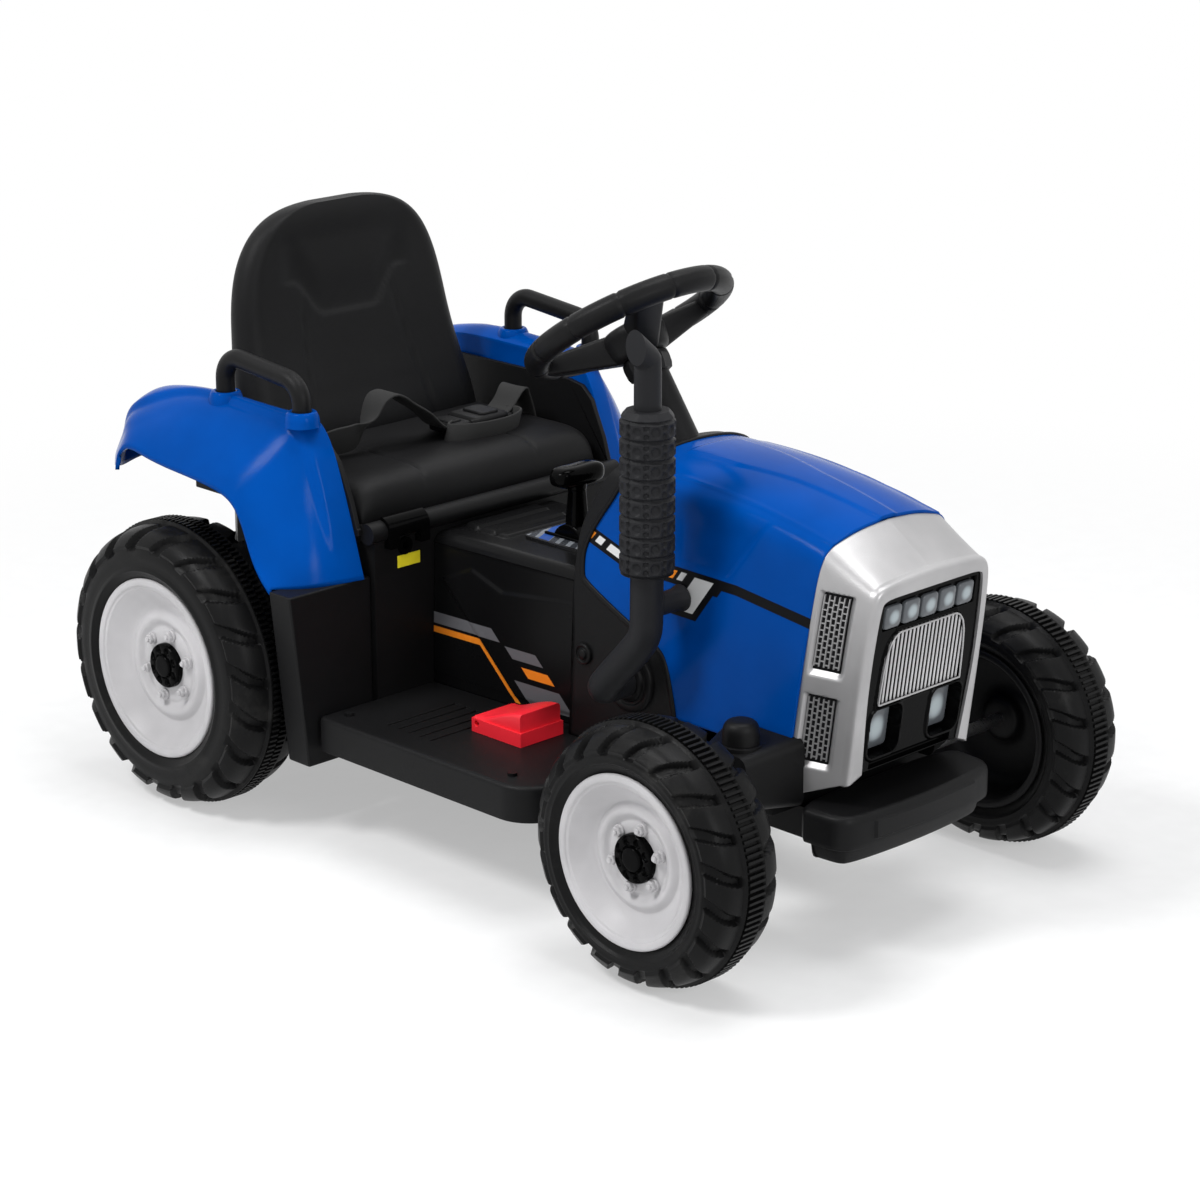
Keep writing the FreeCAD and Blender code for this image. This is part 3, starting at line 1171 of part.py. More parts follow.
def make_pedal():
    """Red tray on the deck, the pedal hinged at its heel, and the return spring under its toe."""
    y0, y1 = PEDAL_Y - PEDAL_HALF, PEDAL_Y + PEDAL_HALF
    top = DECK_Z + PEDAL_BASE_HEIGHT
    wall = 3.0
    tray = box(PEDAL_REAR_X, PEDAL_FRONT_X, y0, y1, DECK_Z, top)
    tray = tray.cut(box(PEDAL_REAR_X + wall, PEDAL_FRONT_X - wall, y0 + wall, y1 - wall, DECK_Z + 2, top + 1))
    pivot = pedal_pivot()
    across = V(0, PEDAL_HALF, 0)
    save("pedal_base", tray.cut(rod(pivot - across * 1.1, pivot + across * 1.1, PEDAL_PIN_R + RUN_CLEAR)))
    low = DECK_Z + 2
    toe = DECK_Z + PEDAL_RISE
    front = PEDAL_FRONT_X - wall - 2
    drop = math.tan(math.radians(PEDAL_STROKE)) * (front - pivot.x)
    heel = pivot.x - PEDAL_PIN_R
    outline = [(heel, pivot.z - 3), (pivot.x + 8, pivot.z - 4), (front, low + drop + 0.5), (front, toe),
               (front - 12, toe + 1), (heel, pivot.z + 4.5)]
    pedal = prism(outline, y0 + wall + 0.5, y1 - wall - 0.5)
    pin = rod(pivot - across * 0.98, pivot + across * 0.98, PEDAL_PIN_R)
    spring_x = PEDAL_FRONT_X - 16
    seat_z = low + drop + 0.5
    pocket = rod(V(spring_x, PEDAL_Y, low), V(spring_x, PEDAL_Y, seat_z + 5), SPRING_R + SPRING_WIRE + 1)
    save("accelerator_pedal", pedal.fuse(pin).cut(pocket))
    height = seat_z + 5 - low - 2 * SPRING_WIRE - 2 * GAP
    helix = Part.makeHelix(height / SPRING_TURNS, height, SPRING_R)
    section = Part.Wire(Part.makeCircle(SPRING_WIRE, V(SPRING_R, 0, 0), V(0, 1, 0)))
    spring = Part.Wire(helix.Edges).makePipeShell([section], True, True)
    spring.translate(V(spring_x, PEDAL_Y, low + SPRING_WIRE + GAP))
    save("pedal_spring", spring)


def make_screws():
    """Screws that hold the footboards to the tub and the rear body's columns."""
    screws = []
    for side in (1, -1):
        for x in (BODY_FRONT_X + 14, DECK_FRONT_X - 40):
            foot = V(x, side * (DECK_HALF - 20), DECK_Z)
            screws.append(rod(foot, foot + V(0, 0, SCREW_HEAD), SCREW_R))
    return screws


def main():
    os.makedirs("parts", exist_ok=True)
    make_wheels()
    save("floor_pan", make_floor_pan())
    save("rear_body", make_rear_body())
    save("wheel_columns", make_column(1), make_column(-1))
    save("seat_wings", make_wing(1), make_wing(-1))
    make_drive()
    make_electrics()
    save("tunnel_cover", make_tunnel_cover())
    make_gear_lever()
    save("bonnet", make_bonnet())
    save("dash_cowl", make_cowl())
    make_nose()
    save("bumper", make_bumper())
    save("front_axle_beam", make_axle_beam())
    for name, side in (("left", 1), ("right", -1)):
        save(f"knuckle_{name}", *make_knuckle(side))
    save("kingpin_caps", make_kingpin_cap(1), make_kingpin_cap(-1))
    save("tie_rod", make_tie_rod())
    make_steering()
    make_exhaust()
    fender, handle = make_fender(), make_handle()
    save("fender_left", fender)
    save("fender_right", mirrored(fender))
    save("handle_left", handle)
    save("handle_right", mirrored(handle))
    save("seat", make_seat())
    make_belt()
    make_pedal()
    save("body_screws", *make_screws())


main()
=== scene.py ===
"""Ride-on tractor toy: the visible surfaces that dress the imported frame, laid out as an add-on.

Shapes are worked out in millimetres, +X to the front, +Y to the rider's left and +Z up, and are
turned into metres when they become meshes.
"""
import math

import bmesh
import bpy
import numpy as np
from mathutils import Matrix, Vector


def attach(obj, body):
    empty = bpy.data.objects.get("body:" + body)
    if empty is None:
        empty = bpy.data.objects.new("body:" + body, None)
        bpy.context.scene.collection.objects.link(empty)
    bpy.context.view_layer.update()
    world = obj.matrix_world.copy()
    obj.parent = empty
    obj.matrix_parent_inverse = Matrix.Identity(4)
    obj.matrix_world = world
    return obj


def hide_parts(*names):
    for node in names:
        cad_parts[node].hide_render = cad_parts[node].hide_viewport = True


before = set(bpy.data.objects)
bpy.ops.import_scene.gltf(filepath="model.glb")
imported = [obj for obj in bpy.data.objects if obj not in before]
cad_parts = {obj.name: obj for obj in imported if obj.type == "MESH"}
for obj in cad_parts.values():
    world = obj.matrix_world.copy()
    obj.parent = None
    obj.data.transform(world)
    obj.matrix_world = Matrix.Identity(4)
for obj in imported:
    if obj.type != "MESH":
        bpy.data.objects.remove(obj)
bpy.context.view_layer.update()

bl_info = {
    "name": "Ride-on tractor toy",
    "version": (1, 0, 0),
    "blender": (4, 5, 0),
    "location": "View3D > Sidebar > Tractor",
    "description": "Builds the painted shells, wheels, seat and trim of a ride-on tractor toy",
    "category": "Object",
}

MM = 0.001
SIDES = (("left", 1.0), ("right", -1.0))
FORWARD, UP = (1, 0, 0), (0, 0, 1)


# Curves and grids

def xyz(x, y, z):
    """Points from three coordinates, each spread over the rows and columns of the others."""
    return np.stack(np.broadcast_arrays(x, y, z), -1)


def full_turn(count):
    """Even angles once round."""
    return np.arange(count) * 2 * np.pi / count


def run_of(points):
    """Distance along a polyline at each of its points."""
    return np.concatenate([[0.0], np.cumsum(np.linalg.norm(np.diff(points, axis=0), axis=1))])


def curve_through(points, count):
    """Natural cubic spline through the points, by chord length, read at count even steps."""
    p = np.asarray(points, float)
    t = run_of(p)
    h = np.diff(t)
    rows = np.arange(1, len(p) - 1)
    system = np.eye(len(p))
    system[rows, rows - 1] = h[:-1]
    system[rows, rows] = 2 * (h[:-1] + h[1:])
    system[rows, rows + 1] = h[1:]
    right = np.zeros_like(p)
    right[1:-1] = 6 * np.diff(np.diff(p, axis=0) / h[:, None], axis=0)
    m = np.linalg.solve(system, right)
    s = np.linspace(0, t[-1], count)
    k = np.clip(np.searchsorted(t, s, side="right") - 1, 0, len(p) - 2)
    before, after, step = (t[k + 1] - s)[:, None], (s - t[k])[:, None], h[k][:, None]
    return ((m[k] * before ** 3 + m[k + 1] * after ** 3) / (6 * step)
            + (p[k] / step - m[k] * step / 6) * before
            + (p[k + 1] / step - m[k + 1] * step / 6) * after)


def eased(points, rounds=2):
    """A polyline with its corners cut at the quarter points of each run, again each round; the
    ends stay."""
    p = np.asarray(points, float)
    for _ in range(rounds):
        cut = np.stack([0.75 * p[:-1] + 0.25 * p[1:], 0.25 * p[:-1] + 0.75 * p[1:]], 1)
        p = np.concatenate([p[:1], cut.reshape(-1, p.shape[1])[1:-1], p[-1:]])
    return p


def even(points, count):
    """A polyline read at count steps of equal length."""
    p = np.asarray(points, float)
    t = run_of(p)
    s = np.linspace(0, t[-1], count)
    return np.stack([np.interp(s, t, p[:, k]) for k in range(p.shape[1])], -1)


def soft(value, low, high):
    """0 below low, 1 above high, and the curve 3t² - 2t³ between them."""
    t = np.clip((value - low) / (high - low), 0.0, 1.0)
    return t * t * (3 - 2 * t)


def window(value, low, high, fade):
    """1 between low and high, falling to 0 over fade outside them."""
    return soft(value, low - fade, low) * (1 - soft(value, high, high + fade))


def bell(value, width):
    """e to the power of minus the square of value over width."""
    return np.exp(-(value / width) ** 2)


def unit(vectors):
    """The vectors at length 1."""
    return vectors / np.maximum(np.linalg.norm(vectors, axis=-1, keepdims=True), 1e-9)


def rounded_ring(a, b, r, per=7):
    """Rounded rectangle of half sizes a and b: four quarter arcs of radius r, per points each.
    Arrays give one ring per row."""
    angle = (np.arange(4)[:, None] * np.pi / 2 + np.linspace(0, np.pi / 2, per)).ravel()
    a, b, r = (np.asarray(v, float)[..., None] for v in (a, b, r))
    x = np.repeat([1, -1, -1, 1], per) * (a - r) + r * np.cos(angle)
    y = np.repeat([1, 1, -1, -1], per) * (b - r) + r * np.sin(angle)
    return np.stack([x, y], -1)


def circle(radius, count):
    """Points of a circle of that radius."""
    angle = full_turn(count)
    return np.stack([radius * np.cos(angle), radius * np.sin(angle)], -1)


def sweep(path, ring, out, loop=False):
    """A ring carried along a path: its first axis points to out, made square to the path."""
    path = np.asarray(path, float)
    if loop:
        tangent = unit(np.roll(path, -1, 0) - np.roll(path, 1, 0))
    else:
        tangent = unit(np.gradient(path, axis=0))
    out = np.broadcast_to(np.asarray(out, float), path.shape)
    first = unit(out - (out * tangent).sum(-1, keepdims=True) * tangent)[:, None]
    second = np.cross(tangent[:, None], first)
    ring = np.broadcast_to(np.asarray(ring, float), (len(path),) + np.shape(ring)[-2:])
    return path[:, None] + ring[..., 0:1] * first + ring[..., 1:2] * second


BAR_FACES = np.array([[0, 3, 2, 1], [4, 5, 6, 7], [0, 1, 5, 4], [1, 2, 6, 5], [2, 3, 7, 6],
                      [3, 0, 4, 7]])


def bar_faces(count, sides=BAR_FACES):
    """Faces of that many bars of eight corners each, one after another."""
    return (sides + 8 * np.arange(count)[:, None, None]).reshape(-1, 4)


def bars(low, high):
    """Plain bars between pairs of corners, all as one set of points and faces."""
    pick = np.array([[0, 0, 0], [1, 0, 0], [1, 1, 0], [0, 1, 0],
                     [0, 0, 1], [1, 0, 1], [1, 1, 1], [0, 1, 1]])
    points = low[:, None] + pick * (high - low)[:, None]
    return points.reshape(-1, 3), bar_faces(len(low))


class Patch:
    """One grid of a mesh: rows by columns of points, closed round or capped as asked. An open
    sheet turns its back to the point inside, and keep picks cells by their middles."""

    def __init__(self, points, loop_rows=False, loop_columns=False, capped=False, inside=None,
                 keep=None):
        self.points = np.asarray(points, float)
        self.loop_rows, self.loop_columns = loop_rows, loop_columns
        self.capped, self.inside, self.keep = capped, inside, keep

    def faces(self):
        """Four corner indices per cell, each corner's share of the grid, and the end rings."""
        n, m = self.points.shape[:2]
        rows = n if self.loop_rows else n - 1
        columns = m if self.loop_columns else m - 1
        i, j = np.meshgrid(np.arange(rows), np.arange(columns), indexing="ij")
        corner_i = np.stack([i, i + 1, i + 1, i], -1).reshape(-1, 4)
        corner_j = np.stack([j, j, j + 1, j + 1], -1).reshape(-1, 4)
        quads = (corner_i % n) * m + corner_j % m
        shares = np.stack([corner_i / rows, corner_j / columns], -1)
        if self.keep is not None:
            wanted = self.keep(self.points.reshape(-1, 3)[quads].mean(1))
            quads, shares = quads[wanted], shares[wanted]
        rings = [np.arange(m)[::-1], (n - 1) * m + np.arange(m)] if self.capped else []
        return quads, shares, rings

    def turned_in(self, quads, rings):
        """True where the faces point inwards, by the volume signed about a point inside."""
        p = self.points.reshape(-1, 3)
        a, b, c, d = (p[quads[:, k]] for k in range(4))
        origin = p.mean(0) if self.inside is None else np.asarray(self.inside, float)
        volume = (np.cross(c - a, d - b) * ((a + b + c + d) / 4 - origin)).sum()
        for ring in rings:
            q = p[ring] - origin
            volume += (np.cross(q, np.roll(q, -1, 0)).sum(0) * q.mean(0)).sum()
        return volume < 0


def tube(points):
    """A grid whose columns close round and whose ends are capped."""
    return Patch(points, loop_columns=True, capped=True)


def torus(points):
    """A grid that closes round both ways."""
    return Patch(points, loop_rows=True, loop_columns=True)


def turned(profile, centre, axis, count, start=UP):
    """A profile of (radius, height) turned about an axis through centre, from start, or from X
    round an upright axis."""
    profile = np.asarray(profile, float)
    axis = unit(np.asarray(axis, float))
    start = np.asarray(FORWARD if abs(np.dot(start, axis)) > 0.95 else start, float)
    first = unit(start - np.dot(start, axis) * axis)
    ring = circle(1.0, count)
    spoke = ring[:, 0:1] * first + ring[:, 1:2] * np.cross(axis, first)
    return tube(np.asarray(centre, float) + profile[:, None, 0:1] * spoke
                + profile[:, None, 1:2] * axis)


def block(low, high, corner, edge):
    """A rounded rectangle carried up Z between two corners, drawn in on a quarter circle at both
    ends."""
    low, high = np.asarray(low, float), np.asarray(high, float)
    t = np.linspace(0, np.pi / 2, 5)
    inset, rise = edge * (1 - np.sin(t)), edge * (1 - np.cos(t))
    inset = np.concatenate([inset, inset[::-1]])
    z = np.concatenate([low[2] + rise, high[2] - rise[::-1]])
    half, middle = (high - low) / 2, (low + high) / 2
    ring = rounded_ring(half[0] - inset, half[1] - inset, np.maximum(corner - inset, 0.2))
    return tube(xyz(ring[..., 0] + middle[0], ring[..., 1] + middle[1], z[:, None]))


# Pieces

def placed(name, data):
    """A new object in the scene, at the origin."""
    thing = bpy.data.objects.new(name, data)
    bpy.context.scene.collection.objects.link(thing)
    return thing


def put(name, patches, node=None, finish="satin black", body="chassis",
        crease=40.0, wall=0.0, loose=None):
    """Make one piece of its grids and its loose faces, with its wall, finish and body."""
    points, faces, shares, count = [], [], [], 0
    for patch in patches:
        quads, share, rings = patch.faces()
        if patch.turned_in(quads, rings):
            quads, share, rings = quads[:, ::-1], share[:, ::-1], [ring[::-1] for ring in rings]
        points.append(patch.points.reshape(-1, 3))
        faces += (quads + count).tolist() + [(ring + count).tolist() for ring in rings]
        shares += [share.reshape(-1, 2)] + [np.zeros((len(ring), 2)) for ring in rings]
        count += len(points[-1])
    if loose:
        corners, quads = loose
        points.append(corners)
        faces += (quads + count).tolist()
        shares.append(np.zeros((quads.size, 2)))
    mesh = bpy.data.meshes.new(name)
    mesh.from_pydata((np.concatenate(points) * MM).tolist(), [], faces)
    mesh.uv_layers.new(name="UVMap").data.foreach_set("uv", np.concatenate(shares).ravel())
    return settle(name, mesh, node, finish, body, crease, wall)


def settle(name, mesh, node, finish, body, crease, wall=0.0, round_over=0.0):
    """Turn a mesh into a smooth piece that rides on its body and takes its finish."""
    mesh.polygons.foreach_set("use_smooth", np.ones(len(mesh.polygons), bool))
    mesh.set_sharp_from_angle(angle=math.radians(crease))
    mesh.materials.append(bpy.data.materials[finish])
    piece = placed(name, mesh)
    if wall:
        solid = piece.modifiers.new("wall", "SOLIDIFY")
        solid.thickness = wall * MM
        solid.offset = -1.0
    if round_over:
        bevel = piece.modifiers.new("edges", "BEVEL")
        bevel.width = round_over * MM
        bevel.segments = 3
        bevel.limit_method = "ANGLE"
        bevel.angle_limit = math.radians(32)
        bevel.harden_normals = True
    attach(piece, body)
    if node:
        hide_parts(node)
    return piece


def eased_copy(node, width, finish="satin black"):
    """A merged copy of a frame node whose edges are rounded over by width."""
    name = f"{node}_eased"
    mesh = bpy.data.meshes.new(name)
    work = bmesh.new()
    work.from_mesh(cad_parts[node].data)
    bmesh.ops.remove_doubles(work, verts=work.verts, dist=2e-5)
    bmesh.ops.dissolve_limit(work, angle_limit=math.radians(3), verts=work.verts, edges=work.edges)
    work.to_mesh(mesh)
    work.free()
    mesh.materials.clear()
    return settle(name, mesh, node, finish, "chassis", 30, round_over=width)


# Shader sockets

def feed(tree, socket, value):
    """Link a socket's value to another, or set a number, a vector or a colour on it."""
    if isinstance(value, Socket):
        tree.links.new(value.out, socket)
    else:
        socket.default_value = (*value, 1.0) if socket.type == "RGBA" else value


class Socket:
    """A shader socket that takes part in Python arithmetic; each operation adds one Math node."""

    def __init__(self, tree, out=None):
        self.tree, self.out = tree, out

    def node(self, kind, settings=None, outlet=0, **values):
        """Add a node: its settings first, then its sockets by name, or by i0, i1 by number."""
        made = self.tree.nodes.new(kind)
        for key, value in (settings or {}).items():
            setattr(made, key, value)
        for key, value in values.items():
            numbered = key[0] == "i" and key[1:].isdigit()
            feed(self.tree, made.inputs[int(key[1:]) if numbered else key.replace("_", " ")], value)
        return Socket(self.tree, made.outputs[outlet] if len(made.outputs) else None)

    def math(self, operation, *values):
        """One Math node on the values."""
        return self.node("ShaderNodeMath", {"operation": operation},
                         **{f"i{k}": value for k, value in enumerate(values)})

    def __add__(self, other):
        return self.math("ADD", self, other)

    def __sub__(self, other):
        return self.math("SUBTRACT", self, other)

    def __rsub__(self, other):
        return self.math("SUBTRACT", other, self)

    def __mul__(self, other):
        return self.math("MULTIPLY", self, other)

    def __truediv__(self, other):
        return self.math("DIVIDE", self, other)

    def __mod__(self, other):
        return self.math("FLOORED_MODULO", self, other)

    def __abs__(self):
        return self.math("ABSOLUTE", self)

    __radd__, __rmul__ = __add__, __mul__

    def larger(self, other):
        """The larger of the two values."""
        return self.math("MAXIMUM", self, other)

    def smaller(self, other):
        """The smaller of the two values."""
        return self.math("MINIMUM", self, other)

    def ramped(self, low, high):
        """0 at low to 1 at high on a smooth step."""
        return self.node("ShaderNodeMapRange", {"interpolation_type": "SMOOTHSTEP"},
                         Value=self, From_Min=low, From_Max=high)

    def between(self, low, high, fade=0.6):
        """1 from low to high with soft edges of width fade."""
        up = self.ramped(low - fade / 2, low + fade / 2)
        return up * (1 - self.ramped(high - fade / 2, high + fade / 2))

    def mixed(self, first, second):
        """Colour first where this value is 0 and second where it is 1."""
        return self.node("ShaderNodeMix", {"data_type": "RGBA"}, outlet=2,
                         i0=self, i6=first, i7=second)


class Finish:
    """One material: its Principled shader and its object coordinates in millimetres."""

    def __init__(self, name):
        material = bpy.data.materials.new(name)
        material.use_nodes = True
        self.tree = material.node_tree
        self.shader = self.tree.nodes["Principled BSDF"]
        self.place = Socket(self.tree).node("ShaderNodeTexCoord", outlet="Object")
        self.x, self.y, self.z = (axis * 1000.0 for axis in self.axes(self.place))

    def axes(self, vector):
        """The three numbers of a vector."""
        split = vector.node("ShaderNodeSeparateXYZ", Vector=vector)
        return [Socket(self.tree, out) for out in split.out.node.outputs]

    def uv(self):
        """The two numbers of the piece's own UV map."""
        return self.axes(self.place.node("ShaderNodeTexCoord", outlet="UV"))[:2]

    def noise(self, scale, detail=3.0, rough=0.55, where=None):
        """Noise from 0 to 1 over the object's own coordinates, or over where."""
        return self.place.node("ShaderNodeTexNoise", Vector=where or self.place, Scale=scale,
                               Detail=detail, Roughness=rough)

    def drawn_out(self, scale, detail, rough):
        """Noise with a scale of its own along each axis."""
        where = self.place.node("ShaderNodeMapping", {"vector_type": "POINT"}, Vector=self.place,
                                Scale=scale)
        return self.noise(1.0, detail, rough, where)

    def set(self, **values):
        """Constant values or sockets on the shader, by socket name."""
        for key, value in values.items():
            feed(self.tree, self.shader.inputs[key.replace("_", " ")], value)
        return self

    def bump(self, height, distance, strength=0.3):
        """Tilt the normal by the slope of a height, which stands distance metres at 1."""
        return self.set(Normal=height.node("ShaderNodeBump", Height=height, Distance=distance,
                                           Strength=strength))

    def mottled(self, colour, share=0.12):
        """The colour, a little darker and lighter in broad soft patches."""
        light = tuple(min(1.0, v) for v in times(colour, 1 + share))
        return self.noise(9.0, 4.0).ramped(0.3, 0.7).mixed(times(colour, 1 - share), light)

    def handled(self, scale, spread, rough):
        """Roughness that varies a little with handling."""
        return (self.noise(scale, 5.0) - 0.5) * spread + rough


def times(colour, share):
    """The colour with each channel multiplied by share."""
    return tuple(v * share for v in colour)


# Settings

def tint(name, description, default):
    """A colour that a user can change."""
    return bpy.props.FloatVectorProperty(name=name, description=description, default=default,
                                         size=3, min=0.0, max=1.0, subtype="COLOR")


def length(name, description, millimetres):
    """A length that a user can change, kept in metres as Blender shows it."""
    return bpy.props.FloatProperty(name=name, description=description, default=millimetres * MM,
                                   min=0.0, precision=4, unit="LENGTH")


def number(name, description, default, least):
    """A count that a user can change."""
    return bpy.props.IntProperty(name=name, description=description, default=default, min=least)


class TractorColours(bpy.types.PropertyGroup):
    """Colours of the painted and moulded parts"""
    bonnet: tint("Bonnet", "Blue of the bonnet and fenders", (0.0, 0.06, 0.32))
    trim: tint("Trim", "Black of the moulded body", (0.0062, 0.0062, 0.0066))
    tyre: tint("Tyres", "Black of the tyres", (0.005, 0.005, 0.0052))
    mask: tint("Grille mask", "Silver of the grille mask", (0.41, 0.405, 0.41))
    rim: tint("Rims", "White-grey of the rims", (0.51, 0.5, 0.51))
    stack: tint("Exhaust", "Dark grey of the exhaust", (0.016, 0.0162, 0.018))
    pedal: tint("Pedal", "Red of the accelerator pedal", (0.92, 0.022, 0.038))
    stripe: tint("Stripe", "Orange of the decorative stripes", (0.86, 0.25, 0.02))
    sticker: tint("Tab", "Yellow of the plain tab by the socket", (0.9, 0.78, 0.03))


class TractorSizes(bpy.types.PropertyGroup):
    """Sizes of the details that scene pieces add to the frame"""
    lug_height: length("Lug height", "Height of the tyre lugs", 5.0)
    panel_step: length("Panel step", "Height of the raised panels on the tunnel", 1.5)
    recess: length("Bonnet recess", "Depth of the shallow hollow in the bonnet side", 2.6)
    vent_recess: length("Vent recess", "Depth of the side vents of the mask", 5.0)
    fender_wall: length("Fender wall", "Thickness of the fenders", 3.6)
    seam: length("Seat seam", "Depth of the seams moulded in the seat", 1.6)
    lugs: number("Lugs", "Lugs round one side of a tyre", 20, 6)
    grille_ribs: number("Grille ribs", "Upright ribs of the grille", 21, 6)
    sleeve_rings: number("Sleeve rings", "Rings of the exhaust sleeve", 8, 2)
    light: bpy.props.FloatProperty(name="Light", description="Strength of the studio lamps",
                                   default=1.0, min=0.0)


def setting(key):
    """A count or a level of the settings."""
    return getattr(bpy.context.scene.tractor_sizes, key)


def size(key):
    """A length of the settings in millimetres."""
    return setting(key) / MM


# Stage

# Name, place, target and size in metres, and power in watts
LAMPS = (("key", (-0.6, -1.9, 2.6), (0.0, 0.0, 0.25), 0.9, 56.0),
         ("top", (0.3, 0.4, 2.7), (0.0, 0.0, 0.2), 1.6, 35.0),
         ("front", (2.6, -0.5, 1.3), (0.2, 0.0, 0.25), 0.8, 18.0))
CAMERA_PLACE, CAMERA_TARGET = (1.8442, -1.8182, 1.0191), (0.0190, 0.0, 0.1938)
CAMERA_LENS, CAMERA_SENSOR = 97.16, 36.0
FLOOR_RADIUS, FLOOR_CORNERS = 9.0, 96
FLOOR_FADE = (0.45, 1.5)
SOFT_LIGHT = 0.42
WHITE = (1.0, 1.0, 1.0)


def aim(thing, place, target):
    """Stand a lamp or a camera at place and turn its -Z to the target, with Y up."""
    thing.location = place
    thing.rotation_euler = (Vector(target) - Vector(place)).to_track_quat("-Z", "Y").to_euler()


def in_view(start):
    """1 for rays from the camera, off a gloss or through glass, and 0 for the rest."""
    seen = start.node("ShaderNodeLightPath", outlet="Is Camera Ray")
    rays = seen.out.node.outputs
    for name in ("Is Glossy Ray", "Is Transmission Ray"):
        seen = seen.larger(Socket(start.tree, rays[name]))
    return seen


def make_floor():
    """A flat disc at ground level, white towards its rim for the camera, with the shadow kept
    under the toy."""
    mesh = bpy.data.meshes.new("floor")
    ring = circle(FLOOR_RADIUS, FLOOR_CORNERS)
    mesh.from_pydata(xyz(ring[:, 0], ring[:, 1], 0.0).tolist(), [], [list(range(FLOOR_CORNERS))])
    material = bpy.data.materials.new("pale floor")
    material.use_nodes = True
    material.node_tree.nodes.clear()
    start = Socket(material.node_tree)
    place = start.node("ShaderNodeTexCoord", outlet="Object")
    reach = start.node("ShaderNodeVectorMath", {"operation": "LENGTH"}, outlet="Value", i0=place)
    share = in_view(start) * (reach.ramped(*FLOOR_FADE) * 0.58 + 0.42)
    grain = start.node("ShaderNodeTexNoise", Vector=place, Scale=40.0).ramped(0.2, 0.8)
    matt = start.node("ShaderNodeBsdfDiffuse", Color=grain.mixed((0.86,) * 3, (0.9,) * 3))
    glow = start.node("ShaderNodeEmission", Color=WHITE, Strength=1.0)
    both = start.node("ShaderNodeMixShader", i0=share, i1=matt, i2=glow)
    start.node("ShaderNodeOutputMaterial", Surface=both)
    mesh.materials.append(material)
    placed("floor", mesh)


def make_world(scene):
    """White where the camera or a reflection looks, and a plain soft grey as light."""
    scene.world = bpy.data.worlds.new("studio")
    scene.world.use_nodes = True
    scene.world.node_tree.nodes.clear()
    start = Socket(scene.world.node_tree)
    dim = start.node("ShaderNodeBackground", Color=(0.96, 0.98, 1.0), Strength=SOFT_LIGHT)
    white = start.node("ShaderNodeBackground", Color=WHITE, Strength=1.0)
    both = start.node("ShaderNodeMixShader", i0=in_view(start), i1=dim, i2=white)
    start.node("ShaderNodeOutputWorld", Surface=both)


class TRACTOR_OT_stage(bpy.types.Operator):
    """Set up the pale floor, the soft studio light and the camera"""
    bl_idname = "tractor.stage"
    bl_label = "Stage"

    def execute(self, context):
        scene = context.scene
        scene.view_settings.view_transform = "Standard"
        make_floor()
        make_world(scene)
        for name, place, target, wide, power in LAMPS:
            light = bpy.data.lights.new(name, "AREA")
            light.shape = "DISK"
            light.size = wide
            light.energy = power * setting("light")
            aim(placed(name, light), place, target)
        camera = bpy.data.cameras.new("camera")
        camera.lens = CAMERA_LENS
        camera.sensor_width = CAMERA_SENSOR
        scene.camera = placed("camera", camera)
        aim(scene.camera, CAMERA_PLACE, CAMERA_TARGET)
        return {"FINISHED"}


# Finishes

BAND_TOP = 276.2
BAND_BENDS = (124.0, 244.0)


def moulded(name, colour, rough, grain, depth, shine=0.12, spread=0.07):
    """Moulded plastic: faint colour drift, grain in the skin and gloss that varies with use."""
    finish = Finish(name)
    finish.set(Base_Color=finish.mottled(colour), Roughness=finish.handled(14.0, spread * 2, rough),
               Specular_IOR_Level=shine)
    return finish.bump(finish.noise(grain, 2.0), depth, 0.35)


def banded_blue(c):
    """Blue paint with a printed band along both flanks: black, with plain white and orange
    blocks on it. t is the depth under the band's top line, which bends twice, and d the place
    along it, slanted."""
    finish = Finish("banded blue")
    x = finish.x
    rise = (BAND_BENDS[0] - x).larger(0.0) * 0.29 - (x - BAND_BENDS[1]).larger(0.0) * 0.1
    t = rise + BAND_TOP - 0.02 * (x - BAND_BENDS[0]) - finish.z
    d = x + 0.67 * t
    flank = abs(finish.y).ramped(66.0, 68.0) * x.ramped(79.0, 80.0)
    wide = t.between(0.0, 14.0) * (1 - d.ramped(234.0, 235.0))
    thin = t.between(0.0, 8.0) * x.ramped(200.0, 201.0)
    tab = t.between(0.0, 38.0) * d.between(197.0, 230.0, 0.8)
    black = wide.larger(thin).larger(tab) * flank
    row = t.between(3.0, 10.0)
    small = d.between(97.0, 104.0) + d.between(110.0, 129.0) + d.between(188.0, 194.0)
    large = t.between(4.0, 33.0) * d.between(203.0, 223.0)
    white = (row * small + large).smaller(1.0) * flank
    orange = row * (d.between(87.0, 93.0) + d.between(172.0, 184.0)) * flank
    paint = black.mixed(finish.mottled(c.bonnet), (0.008, 0.008, 0.009))
    paint = orange.mixed(white.mixed(paint, (0.75,) * 3), tuple(c.stripe))
    finish.set(Base_Color=paint, Roughness=finish.handled(14.0, 0.1, 0.14),
               Specular_IOR_Level=0.03)
    finish.bump(finish.noise(900.0, 2.0) + black * 0.6, 0.0002, 0.35)


